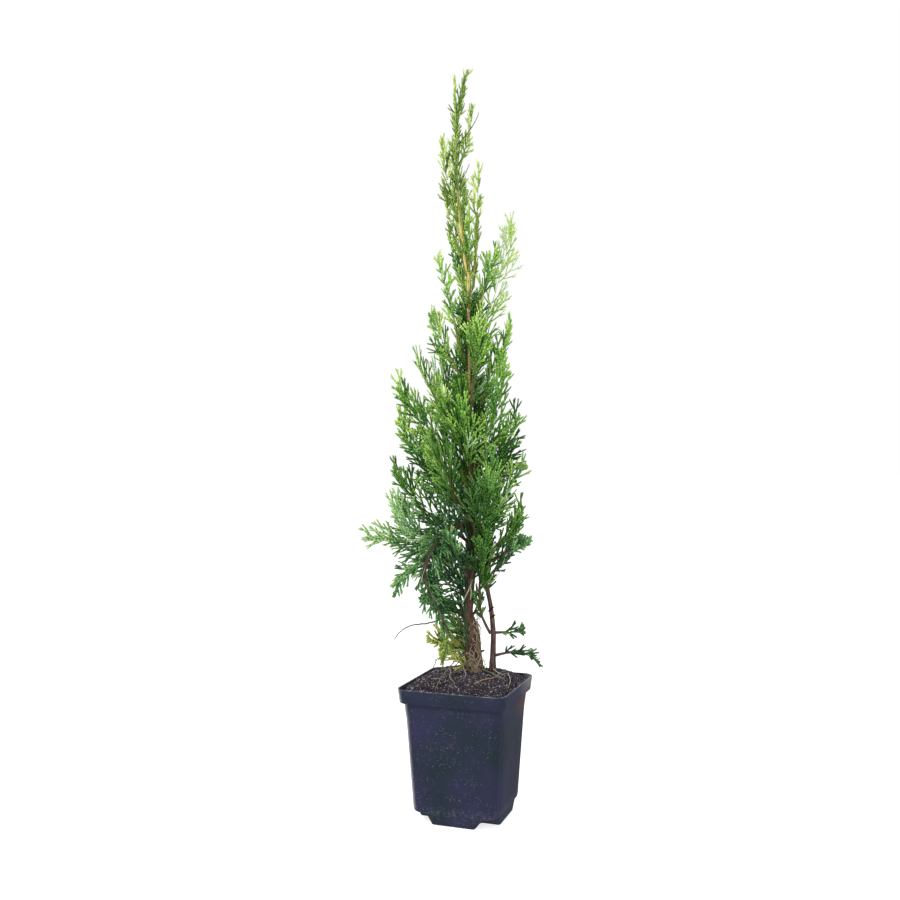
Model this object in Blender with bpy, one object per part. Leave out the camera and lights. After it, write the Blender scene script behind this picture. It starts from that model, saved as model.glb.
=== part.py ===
"""A young thuja in its square nursery pot.

Metres, +Z up. The origin is the centre of the flat underside of the pot's foot, and the pot's
sides are square to X and Y. The plant has a frame of its own: x to the right across its broad
side, y to its back, z up from the top of the soil. It stands turned in the pot by PLANT_TURN.
"""

import math
import random
from collections import namedtuple

import bmesh
import bpy
import numpy as np
from mathutils import Matrix, Vector

MM = 0.001
GAP = 0.3 * MM

# Pot: a moulded square nursery pot with a wider collar and a cross-shaped foot.
RIM_WIDTH = 91 * MM
POT_HEIGHT = 108.2 * MM
COLLAR_HEIGHT = 11.5 * MM
COLLAR_FOOT_WIDTH = 88.5 * MM
BODY_TOP_WIDTH = 82.8 * MM
BODY_FOOT_WIDTH = 72 * MM
CORNER_RADIUS = 9 * MM
WALL = 1.2 * MM
FOOT_HEIGHT = 8.2 * MM
FOOT_ARM_LENGTH = 68.5 * MM
FOOT_ARM_WIDTH = 36 * MM
FOOT_DRAFT = 5 * MM
DRAIN_RADIUS = 3 * MM
DRAIN_PLACE = 28.5 * MM

# Soil: fills the pot to just under the rim, and rises to a low heap round the stems.
SOIL_EDGE_HEIGHT = 104.7 * MM
SOIL_TOP = 114.2 * MM
HEAP_STEPS = ((0.86, 0.55), (0.78, 0.45))

# Plant.
PLANT_TURN = math.radians(19)
TRUNK_FOOT_RADIUS = 4.5 * MM
TRUNK_TIP_RADIUS = 0.55 * MM
ROOT_FLARE = 1.8 * MM
ROOT_FLARE_HEIGHT = 8 * MM
STEP_ALONG = 9 * MM
TRUNK_STEP = 15.3 * MM
SPRINGING_GAP = 0.48 * MM
STEM_RADIUS = 1.25 * MM
STEM_TIP_RADIUS = 0.75 * MM
STEM_POINTS = 4
STEM_OUTWARD = 0.78
STEM_STRAIGHT_ON = 0.4
SPRAY_SPACING = 27 * MM
FIRST_SPRAY = 0.2
LENGTH_AT_ROOT = 1.12
LENGTH_LOST = 0.5
LENGTH_VARIES = (0.88, 1.1)
BLADE_THICKNESS = 1.1 * MM
BLADE_ROOT = 0.06
BLADE_NOTCH = 0.22
FIRST_NOTCH = 0.2
NOTCHES_SPREAD = 0.62
TOOTH_REACH = 0.06
BLADE_NARROWING = 1.9
BLADE_WIDTH = 0.62
NARROWEST_BLADE = 8 * MM
TEETH_FROM = {2: 0, 3: 15 * MM, 4: 27 * MM}
END_SPRAY = 0.84
EARLIEST_END_SPRAY = 0.35
SPRAY_ANGLE = math.radians(32)
SPRAY_LIFT = 0.22
ANGLE_VARIES = (-0.1, 0.14)
ANGLE_AT_ROOT = 1.1
ANGLE_LOST = 0.35
ROLL_VARIES = 9
CLEAR_OF_LIMB = 1 * MM
PAST_TIP = 2 * MM
ROOT_ZONE = 2.5 * STEM_RADIUS
MIDDLE_LINE = (0.35, 0.6, 0.8, 1)
CLEAR_OF_NEIGHBOUR = 0.9 * MM
SHORTENED = (1, 0.85, 0.7, 0.55, 0.42)
TURNED = (0, 30, -30, 60, -60)

# Where the trunk leans: (height, to the right, to the back), in mm above the soil.
TRUNK_LEAN = (
    (0, 2.5, 12), (4, 2.5, 12), (30, 2.8, 10), (50, 1, 8), (95, 4, 5), (152, 3, 2),
    (210, 1, 0), (318, 2, 0), (360, -4, 0), (420, -8.5, 0), (460, -7, 0), (498, 0.5, 0),
)

# The second strand, which runs up from its own root and grows into the trunk.
STRAND_LEAN = ((0, 10, 12.5), (4, 9.8, 12.5), (18, 9.2, 11.6), (32, 8.2, 10.4), (48, 3.5, 8.4))
STRAND_RADIUS = (3.1 * MM, 1.9 * MM)

# Limbs: what each grows from and at which height, its first and last radius, and the points it
# bends through, in mm. A limb that grows from the soil starts at its first point.
Limb = namedtuple("Limb", "on height radii through")
LIMBS = {
    "right_stem": Limb(
        None, 0, (2.5, 1.3),
        ((21.5, 11, 0), (21.5, 11, 4), (22, 10, 32), (19.5, 8, 56), (15.7, 6, 78), (17.2, 1.5, 93),
         (17, -2.5, 111)),
    ),
    "right_fork": Limb("right_stem", 91, (1.4, 1.1), ((26, -3, 96), (34, -7, 101))),
    "thin_stem": Limb("right_stem", 29, (1.2, 0.8), ((14.5, 3, 42), (11.5, 0, 50), (10.5, -2.5, 64))),
    "left_bough": Limb(
        "trunk", 121, (2.6, 1.0),
        ((-14, -12, 120), (-25, -17, 109), (-34.5, -15, 85), (-30, -13, 69), (-22, -11, 53), (-16.5, -9, 38)),
    ),
    "middle_bough": Limb("trunk", 133, (1.7, 1.3), ((-9, -8, 143), (-13, -12, 156))),
    "left_low_bough": Limb("trunk", 93, (1.7, 1.2), ((-14, 4, 99), (-30, 0, 104))),
    "back_bough": Limb("trunk", 86, (1.8, 1.3), ((6, 17, 100), (7, 22, 114))),
    "front_bough": Limb("trunk", 216, (1.6, 1.2), ((4, -9, 231), (6, -12, 245))),
    "left_upper_bough": Limb("trunk", 254, (1.5, 1.1), ((-5, -7, 267), (-8, -9, 280))),
    "right_leader": Limb("trunk", 283, (1.4, 1.1), ((8, -4, 295), (11, -3, 308))),
    "upper_leader": Limb("trunk", 321, (1.2, 0.9), ((6.8, -3, 340), (8, -3, 368))),
}

# Foliage masses, from the foot up. Each is one branching system on a stem: the limb and the height
# it springs from (None is the limb's own tip), the tip it reaches, the length of its longest side
# spray, the roll of its plane from upright in degrees, and how early the stem rises. Sizes in mm.
Mass = namedtuple("Mass", "on height tip fan roll rise")
MASSES = {
    "foliage_foot_left": Mass("trunk", 23, (-32, -6, 29), 20, 35, 0.9),
    "foliage_foot_right": Mass("right_stem", 17, (60, 2, 6), 12, 20, -1.2),
    "foliage_twig_right": Mass("right_stem", 34, (48, 3, 34), 11, -15, 0.9),
    "foliage_hanging_left": Mass("left_bough", None, (-21, -13, 13), 13, 30, 0.6),
    "foliage_low_left": Mass("left_bough", 92, (-58, -14, 75), 20, 25, 0.5),
    "foliage_inner_left": Mass("left_bough", 58, (-37, -8, 62), 13, 20, 0.9),
    "foliage_low_front": Mass("trunk", 42, (-30, 1, 58), 22, 50, 0.7),
    "foliage_inner_right": Mass("thin_stem", None, (17, -16, 120), 22, 40, 0.5),
    "foliage_long_left": Mass("left_low_bough", None, (-86, -7, 111), 25, 12, 0.35),
    "foliage_front_low": Mass("trunk", 74, (-14, -32, 118), 32, 75, 0.5),
    "foliage_back_low": Mass("trunk", 66, (-24, 36, 106), 28, 40, 0.4),
    "foliage_back_right_low": Mass("right_stem", 76, (38, 26, 112), 26, 30, 0.4),
    "foliage_fork": Mass("right_fork", None, (52, -11, 111), 11, 10, 0.5),
    "foliage_right_low": Mass("right_stem", 102, (46, 0, 138), 21, 5, 0.3),
    "foliage_right_middle": Mass("right_stem", None, (48, -8, 173), 29, 0, 0.45),
    "foliage_front_left_low": Mass("middle_bough", None, (-32, -30, 188), 36, 30, 0.4),
    "foliage_left_low": Mass("trunk", 104, (-61, 5, 171), 30, 8, 0.58),
    "foliage_left_front_low": Mass("left_bough", 108, (-60, -22, 141), 27, 15, 0.58),
    "foliage_front_right_low": Mass("trunk", 112, (21, -34, 180), 36, 55, 0.35),
    "foliage_back_middle": Mass("back_bough", None, (2, 46, 166), 34, 45, 0.4),
    "foliage_back_right": Mass("trunk", 116, (34, 32, 190), 34, 30, 0.35),
    "foliage_back_left": Mass("trunk", 124, (-34, 36, 194), 36, -30, 0.4),
    "foliage_left_middle": Mass("trunk", 140, (-57, 4, 211), 28, -8, 0.56),
    "foliage_left_outer": Mass("trunk", 168, (-57, -8, 239), 27, 8, 0.66),
    "foliage_right_outer": Mass("trunk", 146, (43, -2, 215), 26, 5, 0.48),
    "foliage_front": Mass("trunk", 162, (-4, -38, 226), 34, 65, 0.35),
    "foliage_front_left": Mass("trunk", 178, (-24, -30, 246), 36, 60, 0.35),
    "foliage_front_right": Mass("trunk", 161, (31, -22, 254), 33, 45, 0.35),
    "foliage_back_right_upper": Mass("trunk", 190, (20, 34, 266), 32, 35, 0.35),
    "foliage_back_left_upper": Mass("trunk", 202, (-24, 32, 274), 32, -35, 0.35),
    "foliage_left_front": Mass("trunk", 196, (-41, -19, 260), 28, 22, 0.58),
    "foliage_right_upper": Mass("trunk", 208, (37, 2, 292), 23, -5, 0.68),
    "foliage_front_upper": Mass("front_bough", None, (12, -27, 292), 27, 60, 0.45),
    "foliage_left_upper": Mass("trunk", 234, (-31, 4, 298), 21, 0, 0.72),
    "foliage_left_slender": Mass("left_upper_bough", None, (-24, -9, 343), 18, 15, 0.65),
    "foliage_right_inner": Mass("right_leader", None, (26, -7, 352), 18, 10, 0.6),
    "foliage_right_airy": Mass("trunk", 262, (39, 12, 375), 26, -10, 0.68),
    "foliage_back_slender": Mass("trunk", 278, (-3, 24, 352), 19, 45, 0.35),
    "foliage_left_high": Mass("trunk", 312, (-15, 3, 367), 15, 5, 0.5),
    "foliage_front_high": Mass("trunk", 330, (2, -13, 384), 15, 40, 0.4),
    "foliage_left_crest": Mass("trunk", 344, (-19, -1, 403), 12, 10, 0.5),
    "foliage_right_high": Mass("upper_leader", None, (10, -3, 421), 15, 0, 0.6),
    "foliage_back_high": Mass("trunk", 364, (-2, 14, 412), 15, 50, 0.4),
    "foliage_crown_left": Mass("trunk", 378, (-21, -2, 441), 18, 0, 0.5),
    "foliage_crown_front": Mass("trunk", 424, (-10, -6, 491), 16, 10, 0.4),
    "foliage_crown_right": Mass("trunk", 426, (5, 2, 470), 13, 0, 0.4),
}

COLOURS = {
    "pot": (0.012, 0.014, 0.022, 1),
    "soil": (0.016, 0.010, 0.009, 1),
    "bark": (0.14, 0.065, 0.042, 1),
    "foliage": (0.052, 0.16, 0.022, 1),
}


def clear_scene():
    for obj in list(bpy.data.objects):
        bpy.data.objects.remove(obj)


def collection_named(name):
    found = bpy.data.collections.new(name)
    bpy.context.scene.collection.children.link(found)
    return found


def material_named(name, colour, roughness):
    material = bpy.data.materials.new(name)
    material.use_nodes = True
    shader = material.node_tree.nodes["Principled BSDF"]
    shader.inputs["Base Color"].default_value = colour
    shader.inputs["Roughness"].default_value = roughness
    shader.inputs["Metallic"].default_value = 0
    return material


def tapered_block(name, foot_size, top_size, z_foot, z_top, corner, collection):
    """A block whose foot and top differ in width, with its four upright edges rounded."""
    bm = bmesh.new()
    bmesh.ops.create_cube(bm, size=1)
    for vert in bm.verts:
        size = top_size if vert.co.z > 0 else foot_size
        vert.co = (vert.co.x * size[0], vert.co.y * size[1], z_top if vert.co.z > 0 else z_foot)
    if corner:
        upright = [edge for edge in bm.edges if abs(edge.verts[0].co.z - edge.verts[1].co.z) > GAP]
        bmesh.ops.bevel(
            bm, geom=upright, offset=corner, segments=4, profile=0.5, affect="EDGES", material=-1
        )
    mesh = bpy.data.meshes.new(name)
    bm.to_mesh(mesh)
    bm.free()
    obj = bpy.data.objects.new(name, mesh)
    collection.objects.link(obj)
    return obj


def as_mesh(obj):
    """Gives the object the mesh that its modifiers make, and drops the modifiers."""
    graph = bpy.context.evaluated_depsgraph_get()
    mesh = bpy.data.meshes.new_from_object(obj.evaluated_get(graph))
    obj.modifiers.clear()
    obj.data = mesh
    mesh.name = obj.name


def join_all(obj, helpers, operation="UNION", solver="EXACT"):
    """Joins or cuts an object with every object of a collection, and removes those objects."""
    joint = obj.modifiers.new("join", "BOOLEAN")
    joint.operand_type = "COLLECTION"
    joint.collection = helpers
    joint.operation = operation
    joint.solver = solver
    as_mesh(obj)
    for helper in list(helpers.objects):
        bpy.data.objects.remove(helper)


def along_taper(foot_value, top_value, height, z):
    """A width that changes evenly from the foot of a form to its top, at z above its foot."""
    return foot_value + (top_value - foot_value) * z / height


def body_width(z):
    body_height = POT_HEIGHT - COLLAR_HEIGHT - FOOT_HEIGHT
    return along_taper(BODY_FOOT_WIDTH, BODY_TOP_WIDTH, body_height, z - FOOT_HEIGHT)


def collar_width(z):
    return along_taper(COLLAR_FOOT_WIDTH, RIM_WIDTH, COLLAR_HEIGHT, z - POT_HEIGHT + COLLAR_HEIGHT)


def arm_size(z):
    """Length and width of one arm of the cross-shaped foot."""
    length = along_taper(FOOT_ARM_LENGTH, FOOT_ARM_LENGTH + FOOT_DRAFT / 3, FOOT_HEIGHT, z)
    return length, along_taper(FOOT_ARM_WIDTH, FOOT_ARM_WIDTH + 2 * FOOT_DRAFT, FOOT_HEIGHT, z)


def pot_blocks(name, inset, z_top, home, helpers):
    """The pot's form, smaller all round by inset: the body, with the collar and the foot's two arms."""
    shoulder = POT_HEIGHT - COLLAR_HEIGHT

    def square(part, width_at, low, high, place):
        sizes = [(width_at(z) - 2 * inset, width_at(z) - 2 * inset) for z in (low, high)]
        return tapered_block(part, *sizes, low, high, CORNER_RADIUS - inset, place)

    body = square(name, body_width, FOOT_HEIGHT + inset, shoulder + 2 * WALL, home)
    square(name + "_collar", collar_width, shoulder + inset, z_top, helpers)
    arm_top = FOOT_HEIGHT + inset + WALL / 2
    for axis in (0, 1):
        sizes = [[width - 2 * inset for width in arm_size(z)] for z in (inset, arm_top)]
        if axis:
            sizes = [size[::-1] for size in sizes]
        tapered_block(f"{name}_arm_{axis}", *sizes, inset, arm_top, 0, helpers)
    return body


def make_pot(home, helpers):
    pot = pot_blocks("pot", 0, POT_HEIGHT, home, helpers)
    join_all(pot, helpers)
    inner = pot_blocks("pot_inner", WALL, POT_HEIGHT + WALL, helpers, helpers)
    helpers.objects.unlink(inner)
    bpy.context.scene.collection.objects.link(inner)
    join_all(inner, helpers)
    bpy.context.scene.collection.objects.unlink(inner)
    helpers.objects.link(inner)
    for x in (-DRAIN_PLACE, DRAIN_PLACE):
        for y in (-DRAIN_PLACE, DRAIN_PLACE):
            bm = bmesh.new()
            place = Matrix.Translation((x, y, FOOT_HEIGHT))
            bmesh.ops.create_cone(
                bm, cap_ends=True, segments=14, radius1=DRAIN_RADIUS, radius2=DRAIN_RADIUS,
                depth=4 * WALL, matrix=place,
            )
            mesh = bpy.data.meshes.new("drain")
            bm.to_mesh(mesh)
            bm.free()
            helpers.objects.link(bpy.data.objects.new("drain", mesh))
    join_all(pot, helpers, "DIFFERENCE")
    pot.data.materials.clear()
    pot.data.materials.append(material_named("pot_plastic", COLOURS["pot"], 0.35))


def make_soil(home, helpers):
    soil = pot_blocks("soil", WALL + GAP, SOIL_EDGE_HEIGHT, home, helpers)
    join_all(soil, helpers)
    bm = bmesh.new()
    bm.from_mesh(soil.data)
    top = [face for face in bm.faces if face.normal.z > 0.9 and face.verts[0].co.z > SOIL_EDGE_HEIGHT - GAP]
    for narrower, upwards in HEAP_STEPS:
        raised = bmesh.ops.extrude_face_region(bm, geom=top)["geom"]
        bmesh.ops.delete(bm, geom=top, context="FACES_ONLY")
        top = [face for face in raised if isinstance(face, bmesh.types.BMFace)]
        for vert in {vert for face in top for vert in face.verts}:
            vert.co.x *= narrower
            vert.co.y *= narrower
            vert.co.z += upwards * (SOIL_TOP - SOIL_EDGE_HEIGHT)
    bm.to_mesh(soil.data)
    bm.free()
    soil.data.materials.clear()
    soil.data.materials.append(material_named("peat_soil", COLOURS["soil"], 0.95))


def smooth_path(knots, step):
    """Points a step apart on a smooth curve through the knots."""
    knots = [np.array(knot, float) for knot in knots]
    padded = [2 * knots[0] - knots[1], *knots, 2 * knots[-1] - knots[-2]]
    points = []
    for before, start, end, after in zip(padded, padded[1:], padded[2:], padded[3:]):
        span = np.linalg.norm(end - start)
        leave = (end - before) * span / (span + np.linalg.norm(start - before))
        arrive = (after - start) * span / (span + np.linalg.norm(after - end))
        pieces = max(1, round(span / step))
        for index in range(pieces):
            t = index / pieces
            points.append(
                (2 * t**3 - 3 * t**2 + 1) * start + (t**3 - 2 * t**2 + t) * leave
                + (3 * t**2 - 2 * t**3) * end + (t**3 - t**2) * arrive
            )
    return np.array([*points, knots[-1]])


def tube(name, points, radii, sides, home):
    """A closed tapering tube along points, from a curve with a bevel, made a mesh with welded caps."""
    section = bpy.data.curves.new(name + "_section", "CURVE")
    ring = section.splines.new("POLY")
    ring.points.add(sides - 1)
    for index, point in enumerate(ring.points):
        turn = 2 * math.pi * index / sides
        point.co = (math.cos(turn), math.sin(turn), 0, 1)
    ring.use_cyclic_u = True
    section_object = bpy.data.objects.new(section.name, section)
    home.objects.link(section_object)
    curve = bpy.data.curves.new(name, "CURVE")
    curve.dimensions = "3D"
    spline = curve.splines.new("POLY")
    spline.points.add(len(points) - 1)
    for point, place, radius in zip(spline.points, points, radii):
        point.co = (*place, 1)
        point.radius = radius
    curve.bevel_mode = "OBJECT"
    curve.bevel_object = section_object
    curve.use_fill_caps = True
    guide = bpy.data.objects.new(name, curve)
    home.objects.link(guide)
    graph = bpy.context.evaluated_depsgraph_get()
    mesh = bpy.data.meshes.new_from_object(guide.evaluated_get(graph))
    bpy.data.objects.remove(guide)
    bpy.data.objects.remove(section_object)
    bm = bmesh.new()
    bm.from_mesh(mesh)
    bmesh.ops.remove_doubles(bm, verts=bm.verts, dist=GAP / 10)
    bmesh.ops.recalc_face_normals(bm, faces=bm.faces)
    bm.to_mesh(mesh)
    bm.free()
    mesh.name = name
    obj = bpy.data.objects.new(name, mesh)
    home.objects.link(obj)
    return obj


def trunk_radii(points):
    heights = points[:, 2]
    share = (heights - heights[0]) / (heights[-1] - heights[0])
    taper = TRUNK_FOOT_RADIUS + (TRUNK_TIP_RADIUS - TRUNK_FOOT_RADIUS) * share
    return taper + ROOT_FLARE * np.exp(-(heights - heights[0]) / ROOT_FLARE_HEIGHT)


def lean_points(lean):
    return [(x * MM, y * MM, z * MM) for z, x, y in lean]


def springing_point(limb, height, toward, radius):
    """Where a thinner limb or stem leaves a thicker one, its square end just clear of the bark."""
    points, radii = limb
    nearest = int(np.argmin(abs(points[:, 2] - height)))
    centre = points[nearest]
    before, after = points[max(nearest - 1, 0)], points[min(nearest + 1, len(points) - 1)]
    along = (after - before) / np.linalg.norm(after - before)
    lead = toward - centre
    lead = lead / np.linalg.norm(lead)
    outward = lead - along * (lead @ along)
    outward = outward / np.linalg.norm(outward)
    slant = abs(lead @ along)
    return centre + outward * (radii[nearest] + SPRINGING_GAP + radius * slant)


def make_limbs(home, helpers):
    """The trunk, its second strand fused on, and the boughs. Returns each limb's path and radii."""
    points = smooth_path(lean_points(TRUNK_LEAN), TRUNK_STEP)
    radii = trunk_radii(points)
    limbs = {"trunk": (points, radii)}
    trunk = tube("trunk", points, radii, 8, home)
    strand = smooth_path(lean_points(STRAND_LEAN), STEP_ALONG)
    strand_radii = np.linspace(*STRAND_RADIUS, len(strand))
    strand_radii += ROOT_FLARE * np.exp(-(strand[:, 2] - strand[0, 2]) / ROOT_FLARE_HEIGHT)
    tube("strand", strand, strand_radii, 7, helpers)
    join_all(trunk, helpers)
    limbs["strand"] = (strand, strand_radii)
    for name, spec in LIMBS.items():
        knots = [np.array(knot) * MM for knot in spec.through]
        first, last = (radius * MM for radius in spec.radii)
        if spec.on:
            knots.insert(0, springing_point(limbs[spec.on], spec.height * MM, knots[0], first))
        points = smooth_path(knots, STEP_ALONG)
        radii = np.linspace(first, last, len(points))
        if not spec.on:
            radii += ROOT_FLARE / 2 * np.exp(-(points[:, 2] - points[0, 2]) / ROOT_FLARE_HEIGHT)
        limbs[name] = (points, radii)
        tube(name, points, radii, 6, home)
    return limbs


def stem_path(spec, limbs):
    """A mass's stem: out from its limb, then rising to the tip that the mass reaches."""
    tip = np.array(spec.tip) * MM
    limb = limbs[spec.on]
    if spec.height is None:
        end = limb[0][-1]
        lead = end - limb[0][-2]
        lead = lead / np.linalg.norm(lead)
        root = end + lead * GAP
        bend = root + lead * np.linalg.norm(tip - root) * STEM_STRAIGHT_ON
    else:
        root = springing_point(limb, spec.height * MM, tip, STEM_RADIUS)
        bend = root + (tip - root) * np.array((STEM_OUTWARD, STEM_OUTWARD, spec.rise))
        root = springing_point(limb, spec.height * MM, bend, STEM_RADIUS)
    t = np.linspace(0, 1, 4 * STEM_POINTS - 3)[:, None]
    return (1 - t) ** 2 * root + 2 * t * (1 - t) * bend + t**2 * tip


def end_spray_start(spec, stem):
    """The share of the stem's length where its last spray starts, so that the spray ends at the tip."""
    length = np.linalg.norm(stem[1:] - stem[:-1], axis=1).sum()
    return max(EARLIEST_END_SPRAY, 1 - spec.fan * MM * END_SPRAY / length)


def along_path(points, share):
    """The place and the direction at a share of a path's length."""
    place = share * (len(points) - 1)
    index = min(int(place), len(points) - 2)
    step = points[index + 1] - points[index]
    return points[index] + step * (place - index), step / np.linalg.norm(step)


def spray_starts(spec, stem, seed):
    """One mass's sprays before they turn: (root, lead, side, angle, roll, length), the last at the tip."""
    draw = random.Random(seed)
    stem_length = np.linalg.norm(stem[1:] - stem[:-1], axis=1).sum()
    last = end_spray_start(spec, stem)
    count = max(2, round(stem_length * last / SPRAY_SPACING))
    starts = []
    for index in range(count):
        share = last * (FIRST_SPRAY + (1 - FIRST_SPRAY) * (index + 0.5) / count)
        root, lead = along_path(stem, share)
        angle = (SPRAY_ANGLE + draw.uniform(*ANGLE_VARIES)) * (ANGLE_AT_ROOT - ANGLE_LOST * share)
        roll = spec.roll + draw.uniform(-ROLL_VARIES, ROLL_VARIES)
        length = spec.fan * MM * (LENGTH_AT_ROOT - LENGTH_LOST * share) * draw.uniform(*LENGTH_VARIES)
        starts.append((root, lead, index % 2 * 2 - 1, angle, roll, length))
    root = along_path(stem, last)[0]
    reach = np.linalg.norm(stem[-1] - root)
    starts.append((root, (stem[-1] - root) / reach, 0, 0, spec.roll, reach))
    return starts


def turned_spray(lead, side, angle, roll):
    """The direction a spray takes, and the direction across its flat face."""
    up = np.array((0, 0, 1.0))
    flat = np.cross(lead, up)
    flat = flat / np.linalg.norm(flat)
    normal = np.array(Matrix.Rotation(math.radians(roll), 3, Vector(lead)) @ Vector(flat))
    heading = math.cos(angle) * lead + side * math.sin(angle) * np.cross(normal, lead)
    heading = heading + abs(side) * SPRAY_LIFT * up
    heading = heading / np.linalg.norm(heading)
    across = np.cross(normal, heading)
    return heading, across / np.linalg.norm(across)


def blade_outline(teeth):
    """Half of a toothed blade of unit length and width, as (along, across): its twigs are the teeth."""
    half = [(0, BLADE_ROOT)]
    for tooth in range(teeth):
        notch = FIRST_NOTCH + NOTCHES_SPREAD * (tooth + 1) / teeth
        half.append((notch + TOOTH_REACH, 0.5 * min(1, BLADE_NARROWING * (1 + TOOTH_REACH - notch))))
        half.append((notch, BLADE_NOTCH * (1 + FIRST_NOTCH - notch)))
    return half


def blade_mesh(teeth, helpers):
    """A toothed blade along +X, flat in XY, one unit long, wide and thick."""
    half = blade_outline(teeth)
    outline = half + [(1, 0)] + [(along, -across) for along, across in reversed(half)]
    curve = bpy.data.curves.new("blade", "CURVE")
    curve.dimensions = "2D"
    curve.fill_mode = "BOTH"
    curve.extrude = 0.5
    spline = curve.splines.new("POLY")
    spline.points.add(len(outline) - 1)
    for point, (along, across) in zip(spline.points, outline):
        point.co = (along, across, 0, 1)
    spline.use_cyclic_u = True
    guide = bpy.data.objects.new("blade", curve)
    helpers.objects.link(guide)
    graph = bpy.context.evaluated_depsgraph_get()
    mesh = bpy.data.meshes.new_from_object(guide.evaluated_get(graph))
    bpy.data.objects.remove(guide)
    bm = bmesh.new()
    bm.from_mesh(mesh)
    bmesh.ops.remove_doubles(bm, verts=bm.verts, dist=0.001)
    bmesh.ops.recalc_face_normals(bm, faces=bm.faces)
    bm.to_mesh(mesh)
    bm.free()
    return mesh


def blade_reach(root, heading, across, length, width, teeth):
    """Points that show where a blade reaches: its outline's corners and its middle line."""
    corners = [(along, side * reach) for along, reach in blade_outline(teeth) for side in (1, -1)]
    corners += [(share, 0) for share in MIDDLE_LINE]
    return np.array([root + heading * length * along + across * width * side for along, side in corners])


def distance_to(points, path):
    return np.min(np.linalg.norm(points[:, None, :] - path[None, :, :], axis=2), axis=1)


def stays_clear(reach, name, stems, limbs):
    """Whether a blade keeps to its mass's own space and off every limb."""
    beyond_root = reach[np.linalg.norm(reach - reach[0], axis=1) > ROOT_ZONE]
    own = distance_to(beyond_root, stems[name])
    for other, stem in stems.items():
        if other != name and (distance_to(beyond_root, stem) < own + CLEAR_OF_NEIGHBOUR).any():
            return False
    for points, radii in limbs.values():
        apart = np.linalg.norm(beyond_root[:, None, :] - points[None, :, :], axis=2) - radii[None, :]
        if (apart < CLEAR_OF_LIMB).any():
            return False
    return True


def out_from_trunk(points, trunk):
    axis = np.stack([np.interp(points[:, 2], trunk[:, 2], trunk[:, each]) for each in (0, 1)], axis=1)
    return np.linalg.norm(points[:, :2] - axis, axis=1)


def within_reach(end, stem, limbs):
    """Whether a spray keeps as near to the trunk as its mass's tip does, but for PAST_TIP."""
    out, tip_out = out_from_trunk(np.array((end, stem[-1])), limbs["trunk"][0])
    return out < tip_out + PAST_TIP


def dense(points, pieces=3):
    """The same path with more points, for measuring distances to it."""
    shares = np.linspace(0, 1, (len(points) - 1) * pieces + 1)
    return np.array([along_path(points, share)[0] for share in shares])


def fitting_blade(start, name, stems, limbs):
    """The first turn and length at which a spray stays clear: its placed matrix and its teeth, or None."""
    root, lead, side, angle, roll, length = start
    for shorter in SHORTENED:
        long = length * shorter
        wide = max(long * BLADE_WIDTH, NARROWEST_BLADE)
        teeth = max(teeth for teeth, least in TEETH_FROM.items() if long > least)
        for turn in TURNED:
            heading, across = turned_spray(lead, side, angle, roll + turn)
            reach = blade_reach(root, heading, across, long, wide, teeth)
            inside = within_reach(root + heading * long, stems[name], limbs)
            if inside and stays_clear(reach, name, stems, limbs):
                turned = Matrix((heading, across, np.cross(heading, across))).transposed().to_4x4()
                sized = Matrix.Diagonal((long, wide, BLADE_THICKNESS, 1))
                return Matrix.Translation(root) @ turned @ sized, teeth
    return None


def make_foliage(limbs, home, helpers):
    leaf = material_named("foliage_green", COLOURS["foliage"], 0.5)
    stems = {name: stem_path(spec, limbs) for name, spec in MASSES.items()}
    dense_stems = {name: dense(stem) for name, stem in stems.items()}
    dense_limbs = {}
    for name, (points, radii) in limbs.items():
        places = np.linspace(0, len(points) - 1, (len(points) - 1) * 3 + 1)
        dense_limbs[name] = (dense(points), np.interp(places, range(len(points)), radii))
    blades = {teeth: blade_mesh(teeth, helpers) for teeth in TEETH_FROM}
    for seed, (name, spec) in enumerate(MASSES.items()):
        stem = stems[name]
        shares = np.linspace(0, end_spray_start(spec, stem) + 0.04, STEM_POINTS)
        radii = np.linspace(STEM_RADIUS, STEM_TIP_RADIUS, STEM_POINTS)
        mass = tube(name, [along_path(stem, share)[0] for share in shares], radii, 3, home)
        for index, start in enumerate(spray_starts(spec, stem, seed)):
            fitting = fitting_blade(start, name, dense_stems, dense_limbs)
            if fitting:
                blade = bpy.data.objects.new(f"blade_{index}", blades[fitting[1]])
                blade.matrix_world = fitting[0]
                helpers.objects.link(blade)
        join_all(mass, helpers, solver="MANIFOLD")
        mass.data.materials.clear()
        mass.data.materials.append(leaf)
    for mesh in blades.values():
        bpy.data.meshes.remove(mesh)


def main():
    clear_scene()
    home = collection_named("potted_thuja")
    helpers = collection_named("helpers")
    make_pot(home, helpers)
    make_soil(home, helpers)
    limbs = make_limbs(home, helpers)
    bark = material_named("bark", COLOURS["bark"], 0.85)
    for name in ("trunk", *LIMBS):
        limb = bpy.data.objects[name]
        limb.data.materials.clear()
        limb.data.materials.append(bark)
        limb.data.shade_smooth()
    make_foliage(limbs, home, helpers)
    plant = bpy.data.objects.new("plant", None)
    home.objects.link(plant)
    plant.location.z = SOIL_TOP + GAP
    plant.rotation_euler.z = PLANT_TURN
    for name in ("trunk", *LIMBS, *MASSES):
        bpy.data.objects[name].parent = plant
    bpy.data.collections.remove(helpers)


main()
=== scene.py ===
import math
import random

import bmesh
import bpy
import numpy as np
from mathutils import Matrix, Vector, noise


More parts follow.
